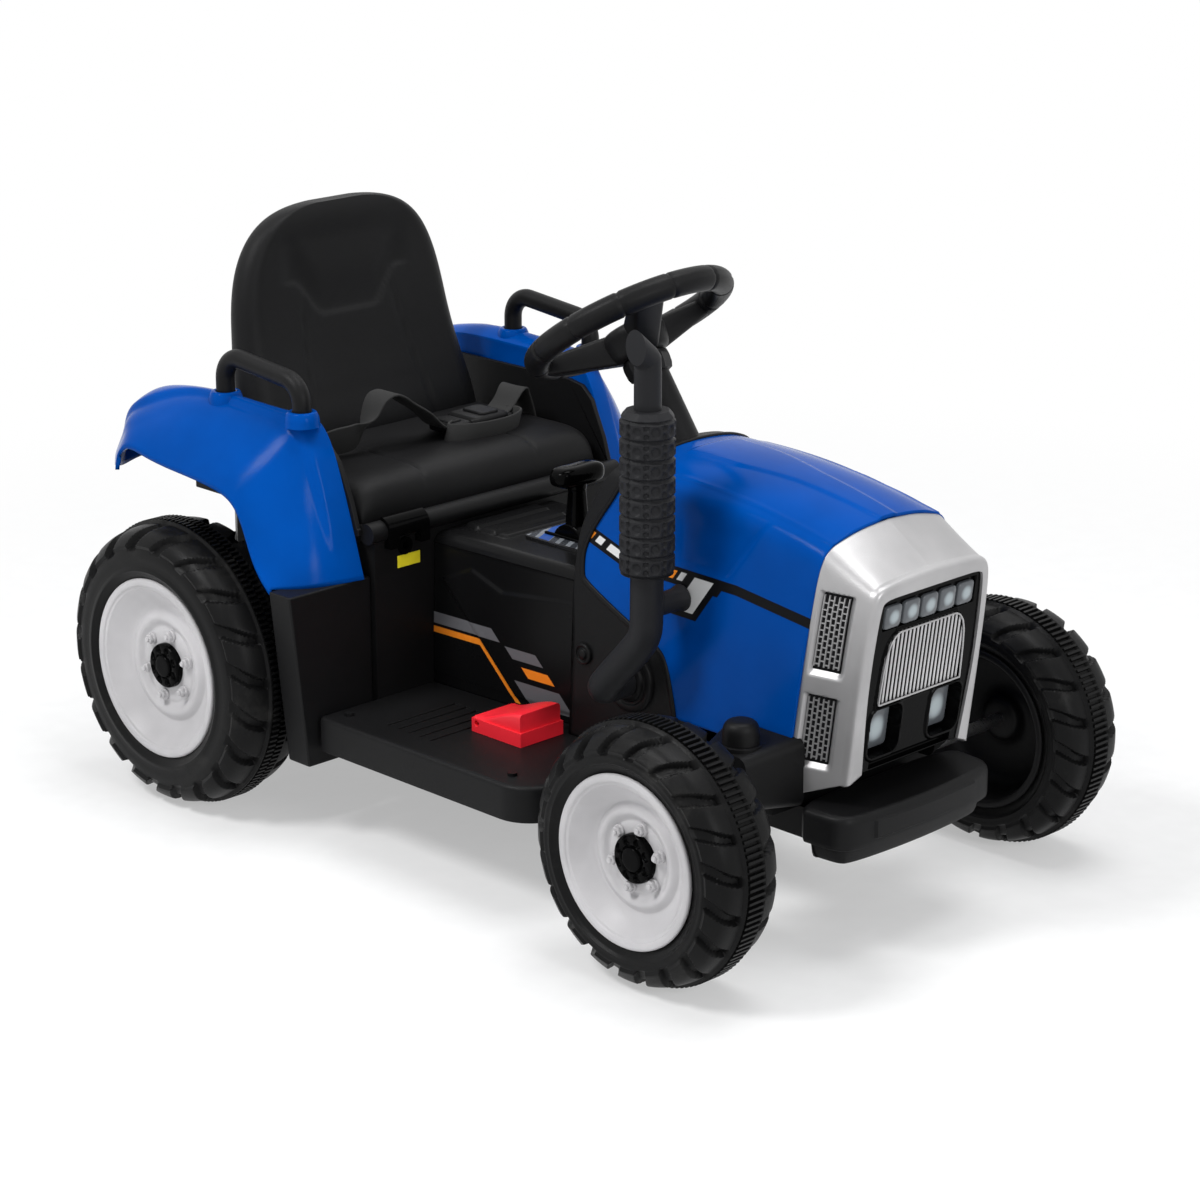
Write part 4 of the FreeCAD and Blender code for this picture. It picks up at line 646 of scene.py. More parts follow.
def striped_black(c):
    """Gloss black with plain grey and orange stripes low on the flanks; d runs along their
    slanted ends."""
    finish = Finish("striped black")
    z = finish.z
    d = finish.x + 1.02 * z
    flank = abs(finish.y).ramped(60.0, 62.0)
    grey = (z.between(163.0, 173.0) * (1 - d.ramped(140.0, 141.0))
            + z.between(152.0, 161.0) * d.between(144.0, 179.0, 0.8)
            + z.between(116.0, 134.0) * d.between(128.0, 179.0, 0.8)).smaller(1.0) * flank
    orange = (z.between(155.0, 160.5) * (1 - d.ramped(111.0, 112.0))
              + d.between(108.0, 114.0, 0.8) * z.between(114.0, 160.5)
              + z.between(139.0, 147.0) * d.between(149.0, 179.0, 0.8)).smaller(1.0) * flank
    paint = grey.mixed(finish.mottled(times(c.trim, 0.8)), (0.13, 0.13, 0.14))
    finish.set(Base_Color=orange.mixed(paint, tuple(c.stripe)),
               Roughness=finish.handled(12.0, 0.12, 0.26), Specular_IOR_Level=0.08)
    finish.bump(finish.noise(600.0, 2.0), 0.0002)


def ribbed_silver(c):
    """Silver on the crowns of the grille's upright ribs and black in the valleys."""
    finish = Finish("grille silver")
    pitch = 2 * GRILLE_HALF / setting("grille_ribs")
    on_rib = 1 - abs((finish.y + GRILLE_HALF) % pitch / pitch - 0.5).ramped(0.2, 0.27)
    silver = finish.mottled(times(c.mask, 1.4))
    finish.set(Base_Color=on_rib.mixed((0.003,) * 3, silver),
               Roughness=finish.noise(30.0) * 0.2 + 0.3, Specular_IOR_Level=0.2)
    finish.bump(finish.noise(1100.0, 2.0), 0.0003)


def tyre_black(c):
    """Satin black tyre plastic with patches of dust and light scuffs."""
    finish = Finish("tyre black")
    dust = finish.noise(22.0, 6.0, 0.7).ramped(0.52, 0.8)
    scuff = finish.drawn_out((60.0, 420.0, 900.0), 4.0, 0.7).ramped(0.66, 0.78)
    scuff = scuff * finish.noise(9.0, 2.0).ramped(0.5, 0.7)
    paint = (dust * 0.12).mixed(finish.mottled(c.tyre), (0.17, 0.165, 0.155))
    paint = (scuff * 0.2).mixed(paint, (0.3, 0.3, 0.29))
    finish.set(Base_Color=paint, Roughness=dust * 0.12 + 0.36, Specular_IOR_Level=0.1)
    finish.bump(finish.noise(1400.0, 2.0), 0.0005, 0.35)


def frosted_lens():
    """Frosted lens: a pale painted highlight at the middle of each pad, by the pad's own UV, which
    also glows faintly though the lens is no lamp, and fine frost.
    """
    finish = Finish("frosted lens")
    across, up = (place - 0.5 for place in finish.uv())
    glow = 1 - ((across * across + up * up) * 4.0).ramped(0.0, 0.55)
    frost = finish.noise(700.0, 3.0)
    # Painted highlight: paler at the middle of each pad, where it also glows faintly though the
    # lens is no lamp.
    finish.set(Base_Color=glow.mixed((0.1, 0.108, 0.118), (0.32, 0.37, 0.39)),
               Roughness=frost * 0.15 + 0.12, Specular_IOR_Level=0.35,
               Emission_Color=glow.mixed((0.0,) * 3, (0.7, 0.78, 0.84)), Emission_Strength=0.06)
    finish.bump(frost, 0.0004)


def woven_webbing():
    """Woven strap: warp and weft threads over and under, on the strap's own UV, with painted shade
    in the gaps between the threads.
    """
    finish = Finish("webbing")
    along, across = finish.uv()
    along, across = along * 70.0, across * 44.0
    warp = abs(across % 1.0 - 0.5)
    weft = abs((along + (across - across % 1.0) * 0.5) % 1.0 - 0.5)
    thread = (1 - warp * 2.0) * 0.6 + (1 - weft * 2.0) * 0.4
    # Painted shade: darker in the gaps between threads and paler on their crowns, by the same
    # relief as the bump.
    finish.set(Base_Color=thread.mixed((0.001,) * 3, (0.006, 0.006, 0.0065)),
               Roughness=thread * 0.1 + 0.62, Specular_IOR_Level=0.03)
    finish.bump(thread, 0.0006, 0.7)


def gate_print():
    """Printed plate of plain slanted blocks: greys with a blue and a red bar round the lever's
    slot, and a black border."""
    finish = Finish("gate print")
    x, y = finish.x, finish.y
    d = x + y * 0.5
    grey = (abs(d % 24.0 - 12.0) / 12.0).between(0.3, 0.72, 0.1)
    paint = grey.mixed((0.05, 0.055, 0.065), (0.3, 0.32, 0.35))
    paint = d.between(-40.0, -28.0).mixed(paint, (0.03, 0.12, 0.5))
    paint = (d.between(18.0, 24.0) * y.ramped(-30.0, 0.0)).mixed(paint, (0.6, 0.03, 0.02))
    border = abs(y).ramped(26.8, 27.2).larger(abs(x + 9.0).ramped(32.0, 32.4))
    finish.set(Base_Color=border.mixed(paint, (0.012, 0.012, 0.013)),
               Roughness=finish.noise(60.0) * 0.15 + 0.2, Coat_Weight=0.4)
    finish.bump(finish.noise(900.0, 2.0), 0.0002)


def drawn_metal(name, colour, rough):
    """Drawn metal: fine lines along X and patches of dull."""
    finish = Finish(name)
    lines = finish.drawn_out((30.0, 900.0, 900.0), 3.0, 0.6)
    finish.set(Base_Color=finish.mottled(colour), Metallic=1.0, Roughness=lines * 0.2 + rough - 0.1)
    finish.bump(lines, 0.0002)


class TRACTOR_OT_finishes(bpy.types.Operator):
    """Make the paints, plastics, webbing and metals"""
    bl_idname = "tractor.finishes"
    bl_label = "Finishes"

    def execute(self, context):
        c = context.scene.tractor_colours
        moulded("blue paint", c.bonnet, 0.14, 900.0, 0.0002, shine=0.03, spread=0.05)
        moulded("satin black", c.trim, 0.42, 1500.0, 0.0005)
        moulded("gloss black", times(c.trim, 0.3), 0.1, 500.0, 0.0002, shine=0.04, spread=0.06)
        moulded("mask silver", c.mask, 0.38, 1100.0, 0.0003, shine=0.3).set(Metallic=0.5)
        moulded("rim white", c.rim, 0.36, 1300.0, 0.0003, shine=0.25)
        moulded("stack grey", c.stack, 0.5, 1600.0, 0.0006)
        moulded("seat black", times(c.trim, 1.1), 0.46, 1900.0, 0.0006, spread=0.05)
        moulded("pedal red", c.pedal, 0.33, 1200.0, 0.0004, shine=0.4)
        moulded("tab yellow", c.sticker, 0.4, 1500.0, 0.0002)
        moulded("vent dark", (0.006, 0.006, 0.007), 0.6, 1500.0, 0.0004)
        moulded("electrics", (0.02, 0.021, 0.024), 0.45, 1200.0, 0.0005)
        for finish in (banded_blue, striped_black, ribbed_silver, tyre_black):
            finish(c)
        for finish in (frosted_lens, woven_webbing, gate_print):
            finish()
        drawn_metal("bright steel", (0.6, 0.6, 0.61), 0.3)
        drawn_metal("motor steel", (0.36, 0.36, 0.37), 0.42)
        return {"FINISHED"}


# Wheels

WHEELS = {
    "front": {"x": 284.0, "y": 206.0, "radius": 104.1, "width": 76.0, "rim": 67.0,
              "ribs": ((-8.3, 8.3),)},
    "rear": {"x": -266.0, "y": 213.0, "radius": 124.4, "width": 82.0, "rim": 77.0,
             "ribs": ((-8.3, -0.5), (0.5, 8.3))},
}
TYRE_BEAD, HUB_BACK = 7.0, 19.0
RAIL_RISE, RIB_PITCH, SHOULDER_STEP = 3.4, 5.1, 2.4
TYRE_STEPS, TYRE_SECTION = 440, 119
DRAWN_RIM = 72.8


def round_axle(profile, wheel, side, angle):
    """Points at (radius, outward distance) of a profile, at each angle about the wheel's axle."""
    r, a = profile[..., 0], profile[..., 1]
    return xyz(wheel["x"] + r * np.cos(angle), side * (wheel["y"] + a),
               wheel["radius"] + r * np.sin(angle))


def tyre(wheel, side):
    """A spline of the half section, mirrored and turned about the axle. Between the lugs slanted
    grooves sink along the section's own normal, wider towards the shoulder and open there, where
    the lugs end in a step down to the wall; two rails stand beside the middle band."""
    half, rim = wheel["width"] / 2, wheel["rim"]
    tread = wheel["radius"] - RAIL_RISE
    wall = [(rim, half - TYRE_BEAD), (rim + 5, half - 3), ((rim + tread) / 2, half),
            (tread - 13, half - 2.5), (tread - 4, half - 10), (tread - 0.6, half - 21), (tread, 0)]
    section = curve_through(wall + [(r, -a) for r, a in wall[-2::-1]], TYRE_SECTION)
    middle = TYRE_SECTION // 2
    along = np.gradient(section, axis=0)
    normal = unit(np.stack([-along[:, 1], along[:, 0]], -1))
    normal *= np.sign(normal[middle, 0])
    run = run_of(section)
    out = np.abs(run - run[middle])
    end = np.interp(15.0, tread - section[middle:, 0], out[middle:])
    angle = full_turn(TYRE_STEPS)[:, None]
    lean = 0.5 * np.clip((out - 10) / (end - 10), 0, 1) ** 1.6
    lug = setting("lugs") * angle / (2 * np.pi)
    off = np.abs((lug - lean + 0.25 * np.sign(section[:, 1])) % 1.0 - 0.5)
    wide = 0.1 + 0.08 * soft(out, 10.0, end)
    groove = (1 - soft(off, wide - 0.035, wide + 0.035)) * soft(out, 11.0, 13.0)
    groove = groove * (1 - soft(out, end - 2.0, end + 9.0))
    step = soft(out, end - 1.2, end + 1.2) * (1 - soft(out, end + 12.0, end + 26.0))
    raised = 1.1 * bell(section[:, 0] - rim - 9.0, 1.6) + 2.6 * window(out, 8.8, 10.2, 0.8)
    height = raised - np.maximum(size("lug_height") * groove, SHOULDER_STEP * step)
    skin = section + normal * height[..., None]
    inner = np.array([(rim - 3, -half + TYRE_BEAD + 6), (rim - 3, half - TYRE_BEAD - 6)])
    skin = np.concatenate([skin, np.broadcast_to(inner, (TYRE_STEPS, 2, 2))], 1)
    return torus(round_axle(skin, wheel, side, angle))


def tread_ribs(wheel, side):
    """The middle band: rows of short flat bars across the tread, evenly round the axle, half a
    step apart."""
    tread = wheel["radius"] - RAIL_RISE
    count = int(round(2 * np.pi * tread / RIB_PITCH))
    corner_t = np.array([-1.4, -1.4, 1.4, 1.4, -1.0, -1.0, 1.0, 1.0]) / tread
    corner_r = tread + np.array([-1.0] * 4 + [RAIL_RISE] * 4)
    points = []
    for row, (low, high) in enumerate(wheel["ribs"]):
        corner_a = np.array([low, high, high, low] * 2)
        ring = (np.arange(count)[:, None] + 0.5 * row) * 2 * np.pi / count + corner_t
        points.append(round_axle(np.stack([corner_r, corner_a], -1), wheel, side, ring))
    points = np.concatenate(points)
    sides = BAR_FACES[1:, ::-1] if side > 0 else BAR_FACES[1:]
    return points.reshape(-1, 3), bar_faces(len(points), sides)


def rim_dish(wheel, side):
    """The rim's pale face: one section turned about the axle, from the hub out over a raised
    ring, the dish and the lip, and back behind; six nuts on washers stand round the hub."""
    half, edge = wheel["width"] / 2, wheel["rim"]
    hub, k = half - HUB_BACK, edge / DRAWN_RIM
    t = np.linspace(0, 1, 10)
    dish = np.stack([48 * k + t * (edge - 8.5 - 48 * k),
                     hub - 0.6 + (half - 6.0 - hub) * t ** 1.5], -1)
    front = [(6, hub), (29 * k, hub), (31 * k, hub - 1.4), (33.5 * k, hub - 0.8),
             (37 * k, hub + 2.2), (40.5 * k, hub + 3.0), (44 * k, hub + 1.0),
             (46.5 * k, hub - 0.8)]
    lip = np.array([(-7.6, -5.4), (-5.6, -5.0), (-5.0, -3.6), (-2.4, -2.9), (0.8, -3.3),
                    (1.6, -6.0), (-1.0, -9.0), (-4.0, -10.5)]) + (edge, half)
    back = [(40 * k, hub - 3.4), (6, hub - 3.4)]
    section = eased(np.concatenate([front, dish, lip, dish[::-1] - (1.0, 3.6), back]))
    patches = [tube(round_axle(section[:, None], wheel, side, full_turn(112)))]
    axis = (0, side, 0)
    for spot in full_turn(6) + 0.3:
        foot = round_axle(np.array([26.5 * k, hub]), wheel, side, spot)
        patches += [turned([(5.2, -1), (5.2, 1.4), (4.7, 2.0)], foot, axis, 20),
                    turned([(4.3, 0), (4.3, 4.6), (3.6, 5.4)], foot, axis, 6, FORWARD),
                    turned([(2.3, 4), (2.3, 6.8), (1.7, 7.5)], foot, axis, 12)]
    return patches


def rim_back(wheel, side):
    """The wheel's dark inner side: a barrel inside the tyre and a hollow disc towards the axle."""
    half, edge = wheel["width"] / 2, wheel["rim"]
    hub, k = half - HUB_BACK, edge / DRAWN_RIM
    section = eased([(7, hub - 4), (44 * k, hub - 4.4), (edge - 8, half - 13),
                     (edge - 3, half - 11.5), (edge - 1.5, half - 12), (edge - 1.5, 10 - half),
                     (edge + 2, 6 - half), (edge, 3.6 - half), (edge - 5, 4 - half),
                     (edge - 7, 12 - half), (edge - 9, hub - 18), (40 * k, hub - 10),
                     (20, hub - 10), (18, hub - 22), (7, hub - 22)])
    return tube(round_axle(section[:, None], wheel, side, full_turn(96)))


def hub_cap(wheel, side):
    """A stepped section turned about the axle, with eight round dimples pressed into its face."""
    hub = wheel["width"] / 2 - HUB_BACK
    steps = np.array([(19.5, -2), (19.5, 3.4), (18.8, 5.6), (16.5, 6.2), (11.4, 6.2), (10.8, 4.4),
                      (9.9, 4.4), (9.4, 6.8), (8.4, 7.4), (2, 7.4)])
    section = even(eased(steps + (0, hub)), 84)
    angle = full_turn(192)
    r, a = section[:, :1], section[:, 1:]
    turn = (angle * 8 / (2 * np.pi)) % 1.0 - 0.5
    dimple = 1 - soft(np.hypot(r - 14.6, turn * 14.6 * 2 * np.pi / 8), 2.8, 4.0)
    shape = np.stack([r + 0 * dimple, a - 2.4 * dimple * soft(a, hub + 2.0, hub + 5.0)], -1)
    return tube(round_axle(shape, wheel, side, angle))


class TRACTOR_OT_wheels(bpy.types.Operator):
    """Tyres with lugs and a ribbed middle band, dished rims with nuts, and hub caps"""
    bl_idname = "tractor.wheels"
    bl_label = "Wheels"

    def execute(self, context):
        for end, wheel in WHEELS.items():
            for word, side in SIDES:
                body = f"{end}_wheel_{word}"
                node = f"{end}_tyre_{word}"
                put(f"{node}_skin", [tyre(wheel, side)], node, "tyre black", body,
                    crease=28, loose=tread_ribs(wheel, side))
                node = f"{end}_rim_{word}"
                put(f"{node}_dish", rim_dish(wheel, side), node, "rim white", body,
                    crease=32)
                put(f"{node}_back", [rim_back(wheel, side)], body=body)
                node = f"{end}_hub_cap_{word}"
                put(f"{node}_face", [hub_cap(wheel, side)], node, "gloss black", body)
        return {"FINISHED"}


# Bonnet and cowl

HOOD_HIGH_TOP, HOOD_LOW_TOP = 345.0, 317.0
HOOD_SHARE = np.linspace(0, 1, 201)


def hood_half(top):
    """Half of the bonnet's cross-section, from its foot to the crown: a spline through points."""
    half = np.array([(86, 110), (83, 176), (80, 242), (74, top - 30), (70, top - 9), (56, top),
                     (31, top + 6), (0, top + 8)], float)
    return curve_through(np.concatenate([half, (half[:-1] * (-1, 1))[::-1]]), 401)[:201]


HOOD_HIGH, HOOD_LOW = hood_half(HOOD_HIGH_TOP), hood_half(HOOD_LOW_TOP)


def hood_top(x):
    """Height of the shoulder: level behind, falling as a parabola towards the nose."""
    return HOOD_HIGH_TOP - 24.0 * (np.maximum(0.0, x - 150.0) / 185.0) ** 2


def hood_section(w, top):
    """Half width and height of the section at share w from foot to crown, by shoulder height."""
    drop = (HOOD_HIGH_TOP - top) / (HOOD_HIGH_TOP - HOOD_LOW_TOP)
    return tuple((1 - drop) * np.interp(w, HOOD_SHARE, HOOD_HIGH[:, k])
                 + drop * np.interp(w, HOOD_SHARE, HOOD_LOW[:, k]) for k in range(2))


def hood_sheet(rear, front, foot, rows, columns):
    """Sheet between two edges: at each place round the section, X runs from the rear edge to the
    front edge for that height; height and X depend on each other, so both are worked out over a
    few turns. The foot's height follows the share from rear to front."""
    u = np.linspace(0, 1, rows)[:, None]
    v = np.linspace(-1, 1, columns)[None]
    x = np.full((rows, columns), 200.0)
    start = np.interp(foot(u), HOOD_HIGH[:, 1], HOOD_SHARE)
    for _ in range(14):
        y, z = hood_section(1 - np.abs(v) * (1 - start), hood_top(x))
        x = rear(z) * (1 - u) + front(z) * u
    return np.stack([x, y * np.sign(v), z], -1)


def edge_line(points):
    """X of an edge as a function of height, from its corner points with the corners eased."""
    line = eased(sorted(points, key=lambda p: p[1]), 3)
    return lambda z: np.interp(z, line[:, 1], line[:, 0])


SHARED_EDGE = [(122.5, 334.6), (79, 277), (78.5, 247), (84, 241), (134, 217.7), (163, 207),
               (174, 198), (184, 163)]
bonnet_rear = edge_line(SHARED_EDGE + [(131, 370), (186, 153)])
cowl_front = edge_line(SHARED_EDGE + [(131, 370), (186, 153.5), (210, 152), (210, 110)])
cowl_rear = edge_line([(69, 110), (69, 257), (74.5, 291.5), (99, 330), (113, 350), (122, 370)])


def seam_x(z):
    """The seam between bonnet and mask leans forward with height."""
    return 302.5 + 0.125 * (z - 119.0)


def face_x(z):
    """The flat front of the mask leans forward with height."""
    return 357.0 + 0.1275 * (z - 140.0)


def bonnet_sheet():
    """The bonnet with a shallow hollow pressed into each flank, bounded by a slanted line in
    front and a level one below; a fine crease along each shoulder and a low raised field on top
    that narrows forwards."""
    p = hood_sheet(bonnet_rear, seam_x, lambda u: 153.0 + 17.0 * soft(u, 0.57, 0.63), 141, 281)
    x, y, z = p[..., 0].copy(), p[..., 1].copy(), p[..., 2].copy()
    side, away, upper = np.sign(y), np.abs(y), z > 300
    hollow = soft(x, 172.0, 186.0) * (1 - soft(x - 0.76 * (z - 283.0), 233.0, 241.0))
    hollow = hollow * soft(z, 273.0, 281.0) * (1 - soft(z, 306.0, 336.0)) * (away > 40)
    crease = bell(away - 61.0, 1.5) * upper * soft(x, 134.0, 150.0)
    edge = np.interp(x, [140, 196, 250, 335], [29, 26, 15, 9])
    field = (1 - soft(away - edge, -1.6, 2.4)) * soft(x, 142.0, 148.0) * upper
    p[..., 1] += side * (0.6 * crease - size("recess") * hollow)
    p[..., 2] += 0.9 * crease + 1.4 * field
    return p


def dash_cowl():
    """The black hoop behind and below the bonnet, and a wall across its rear edge that bulges
    back between its upper and lower end."""
    cowl = hood_sheet(cowl_rear, lambda z: cowl_front(z) - 0.4, lambda u: 110.0 + 0 * u, 25, 241)
    cowl[..., 1] -= np.sign(cowl[..., 1]) * 0.3
    v = np.linspace(-1, 1, 41)
    y, z = np.abs(cowl[0, 120:, 1])[:, None], cowl[0, 120:, 2][:, None]
    bulge = 6.0 * (1 - v ** 4) * window(z, 262.0, 322.0, 10.0)
    wall = xyz(cowl_rear(z) - bulge, y * v, z)
    put("dash_cowl_shell", [Patch(cowl, inside=(130, 0, 200)), Patch(wall, inside=(200, 0, 200))],
        "dash_cowl", crease=45, wall=2.6)


class TRACTOR_OT_bonnet(bpy.types.Operator):
    """The blue bonnet, the black cowl behind it, the bead along their joint and the round flange
    that the exhaust leaves by"""
    bl_idname = "tractor.bonnet"
    bl_label = "Bonnet and cowl"

    def execute(self, context):
        sheet = bonnet_sheet()
        put("bonnet_skin", [Patch(sheet, inside=(200, 0, 200))], "bonnet",
            "banded blue", crease=50, wall=3.2)
        dash_cowl()
        out = unit(xyz(0.0, sheet[0, :, 1], sheet[0, :, 2] - 215.0))
        bead = sweep(sheet[0] + out * 0.4, rounded_ring(1.4, 2.4, 1.2, 4), out)
        put("bonnet_bead", [tube(bead)], crease=50)
        flange = eased([(27, -3), (27, 2.2), (25.6, 3.6), (21, 3.6), (20, 2.2), (17.5, 2.2),
                        (17, 5), (14, 5.6)])
        put("exhaust_flange", [turned(flange, (136, -83.4, 173), (0, -1, 0), 56)])
        return {"FINISHED"}


# Grille mask

VENTS = ((152.0, 204.0), (227.0, 286.0))
GRILLE_HALF = 48.0
GRILLE_Z = (199.0, 225.0, 240.0, 248.0, 253.5, 256.0)
GRILLE_Y = (GRILLE_HALF, 46.8, 45.0, 42.4, 38.0, 33.0)
EDGE_BACK = 8.0
LAMP_PITCH, LAMP_HALF, LAMP_Z = 21.2, 9.3, (261.0, 279.6)
LOW_LAMP_Y, LOW_LAMP_HALF, LOW_LAMP_Z = 35.5, 15.5, (158.0, 192.0)


def half_ring(points):
    """Half outline from foot to crown, eased and read evenly, then mirrored into the whole."""
    half = even(eased(points, 3), 221)
    return np.concatenate([half * (-1, 1), half[-2::-1]])


def on_line(ring, line, back=0.0):
    """An outline of (Y, Z) set on a leaning plane, or behind it."""
    return xyz(line(ring[:, 1]) - back, ring[:, 0], ring[:, 1])


def mask_shell():
    """Straight from the seam to the edge, a parabola round the edge on to the face, and in to
    the fascia; the vents are hollows in the flanks, sloping in from below."""
    seam = on_line(half_ring([(82, 119), (80, 220), (76.5, 280), (74.6, 298), (71.5, 311),
                              (65, 318), (56, 321.5), (31, 327), (0, 329)]), seam_x)
    edge = on_line(half_ring([(72, 137), (72, 216), (70.5, 262), (69, 280), (67, 290), (62, 295.5),
                              (54, 298), (31, 300), (0, 301)]), face_x, EDGE_BACK)
    corner = on_line(edge[:, 1:], face_x)
    face = on_line(half_ring([(67.5, 140), (67.5, 216), (66.4, 260), (64.6, 280), (61.5, 287.5),
                              (56, 291.6), (50, 293), (30, 294.4), (0, 295)]), face_x)
    hole = on_line(half_ring([(57.4, 144), (63.4, 213), (60.4, 281), (55, 286.4), (30, 286.6),
                              (0, 286.6)]), face_x)
    t = np.linspace(0, 1, 56)[:, None, None]
    flank = seam * (1 - t) + edge * t
    x, y, z = flank[..., 0], flank[..., 1], flank[..., 2]
    tall = sum(soft(z, low - 7.0, low) * (1 - soft(z, high, high + 2.6)) for low, high in VENTS)
    off = x - seam_x(z)
    deep = soft(off, 3.4, 6.0) * (1 - soft(off, 28.0, 36.0)) * tall * (np.abs(y) > 55)
    flank[..., 1] -= np.sign(y) * deep * size("vent_recess")
    t = np.linspace(0, 1, 9)[1:, None, None]
    turn = (1 - t) ** 2 * edge + 2 * t * (1 - t) * corner + t ** 2 * face
    t = np.linspace(0, 1, 4)[1:, None, None]
    front = face * (1 - t) + hole * t
    inner = hole - np.array([2.0, 5.0])[:, None, None] * FORWARD
    put("grille_mask_shell", [Patch(np.concatenate([flank, turn, front, inner]),
                                    inside=(320, 0, 200))],
        "grille_mask", "mask silver", wall=2.2)


def vent_floor(z, reach):
    """Half width of the vents' hollow floor, from the flank's share between seam and edge."""
    share = reach / (face_x(z) - EDGE_BACK - seam_x(z))
    seam = np.interp(z, [119, 220, 280, 298], [82, 80, 76.5, 74.6])
    edge = np.interp(z, [137, 216, 262, 280, 290], [72, 72, 70.5, 69, 67])
    return seam * (1 - share) + edge * share - size("vent_recess") + 1.6


def vent_lattice(low, high):
    """Bars laid out flat over (distance from the seam, depth, height) and set on the left flank:
    six uprights along the seam's lean, and short level ticks between them that stand half a step
    over from one gap to the next."""
    across = np.linspace(6.4, 27.6, 6)
    cut = np.linspace(low, high, 7)
    place, level = (v.ravel() for v in np.meshgrid(across, cut[:-1]))
    upright = xyz(place - 0.4, -1.0, level)
    gap, step = (v.ravel() for v in np.meshgrid(np.arange(5), np.arange(int((high - low) / 5.4))))
    tick = xyz(across[gap], -1.0, low + 1.4 + 5.4 * step + 2.7 * (gap % 2))
    upright_top = upright + (0.8, 1.6, cut[1] - cut[0])
    tick_top = tick + (across[1] - across[0], 1.4, 0.9)
    corners, quads = bars(np.concatenate([upright, tick]), np.concatenate([upright_top, tick_top]))
    reach, depth, z = corners.T
    return np.stack([seam_x(z) + reach, vent_floor(z, reach) + depth, z], -1), quads


def mask_vents():
    """Dark plates on the floors of the vents, behind a lattice of thin silver bars."""
    plates, points, faces, count = [], [], [], 0
    for low, high in VENTS:
        z = np.linspace(low - 1.5, high + 1.5, 20)[:, None]
        reach = np.linspace(5, 29, 12)
        y = vent_floor(z, reach) - 0.6
        corners, quads = vent_lattice(low + 1, high - 1)
        for _, side in SIDES:
            plates.append(Patch(xyz(seam_x(z) + reach, side * y, z), inside=(320, 0, 200)))
            points.append(corners * (1, side, 1))
            faces.append((quads if side > 0 else quads[:, ::-1]) + count)
            count += len(corners)
    put("side_vents_plates", plates, None, "vent dark", crease=35, wall=1.0)
    put("side_vents_bars", [], "side_vents", "mask silver", crease=35,
        loose=(np.concatenate(points), np.concatenate(faces)))


def in_grille(y, z, grow, fade):
    """1 inside the grille's outline, grown by a margin: level foot, upright sides and rounded
    upper corners."""
    reach = np.interp(z, GRILLE_Z, GRILLE_Y)
    tall = window(z, GRILLE_Z[0] - grow, GRILLE_Z[-1] + grow, fade)
    return (1 - soft(np.abs(y) - reach, grow, grow + fade)) * tall


def fascia_face():
    """A height field over the face: pockets for the lamps, the grille and the slot below it."""
    z = np.linspace(144.4, 286.2, 230)[:, None]
    half = np.interp(z, [144, 213, 281, 286.5], [56.8, 62.8, 59.8, 54.4])
    y = half * np.linspace(-1, 1, 191)
    away = np.abs(y)
    height = -1.2 - 2.5 * window(away, 0.0, 53.0, 0.8) * window(z, 261.0, 281.6, 0.8)
    height -= 3.0 * in_grille(y, z, 0.0, 1.2)
    height += 1.4 * (in_grille(y, z, 2.6, 0.8) - in_grille(y, z, 1.0, 0.8))
    corner = np.hypot(np.maximum(np.abs(away - LOW_LAMP_Y) - 9.5, 0),
                      np.maximum(np.abs(z - sum(LOW_LAMP_Z) / 2) - 11.5, 0))
    height += 1.6 * (1 - soft(corner, 10.4, 11.6)) - 14.0 * (1 - soft(corner, 7.6, 8.6))
    height -= 6.0 * window(away, 0.0, 47.0, 1.2) * window(z, 146.4, 151.6, 0.8)
    put("fascia_panel_face", [Patch(xyz(face_x(z) - 1.0 + height, y, z), inside=(300, 0, 215))],
        "fascia_panel", "gloss black", crease=45, wall=1.0)


def grille():
    """Upright ribs: half circles across Y, inside the outline, and a thin silver frame along it."""
    ribs = setting("grille_ribs")
    z = np.linspace(199.2, 255.8, 60)[:, None]
    y = np.linspace(-GRILLE_HALF, GRILLE_HALF, ribs * 12 + 1)
    phase = ((y + GRILLE_HALF) / (2 * GRILLE_HALF / ribs)) % 1.0 - 0.5
    crown = 3.2 * np.sqrt(np.maximum(0.0, 1 - (phase / 0.36) ** 2))
    half = np.stack([GRILLE_Y, GRILLE_Z], -1)
    loop = even(np.concatenate([half, half[::-1] * (-1, 1), half[:1]]), 161)[:-1]
    frame_path = on_line(loop, face_x, 0.4)

    def within(middle):
        """True where a cell lies inside the grille's outline."""
        return np.abs(middle[:, 1]) < np.interp(middle[:, 2], GRILLE_Z, GRILLE_Y) + 0.2

    put("radiator_grille_ribs", [Patch(xyz(face_x(z) - 5.0 + crown, y, z), inside=(300, 0, 215),
                                       keep=within)],
        "radiator_grille", "grille silver", crease=60, wall=0.8)
    put("radiator_grille_frame", [torus(sweep(frame_path, circle(0.8, 8), FORWARD, loop=True))],
        None, "mask silver", crease=60)


def lens_pad(middle, half_y, rise, back, crown):
    """Rounded rectangles stacked forward, the last ones drawn in over a low crown."""
    out, inset = np.array([(0.0, 0.0), (3.0, 0.0), (3.8, 0.4), (4.3, 1.2), (4.3 + crown * 0.6, 4.0),
                           (4.3 + crown, 8.0)]).T
    half_z = (rise[1] - rise[0]) / 2
    ring = rounded_ring(half_y - inset, half_z - inset, np.maximum(3.4 - inset * 0.3, 0.6), 5)
    z = ring[..., 1] + sum(rise) / 2
    return tube(np.stack([face_x(z) - back + out[:, None], ring[..., 0] + middle, z], -1))


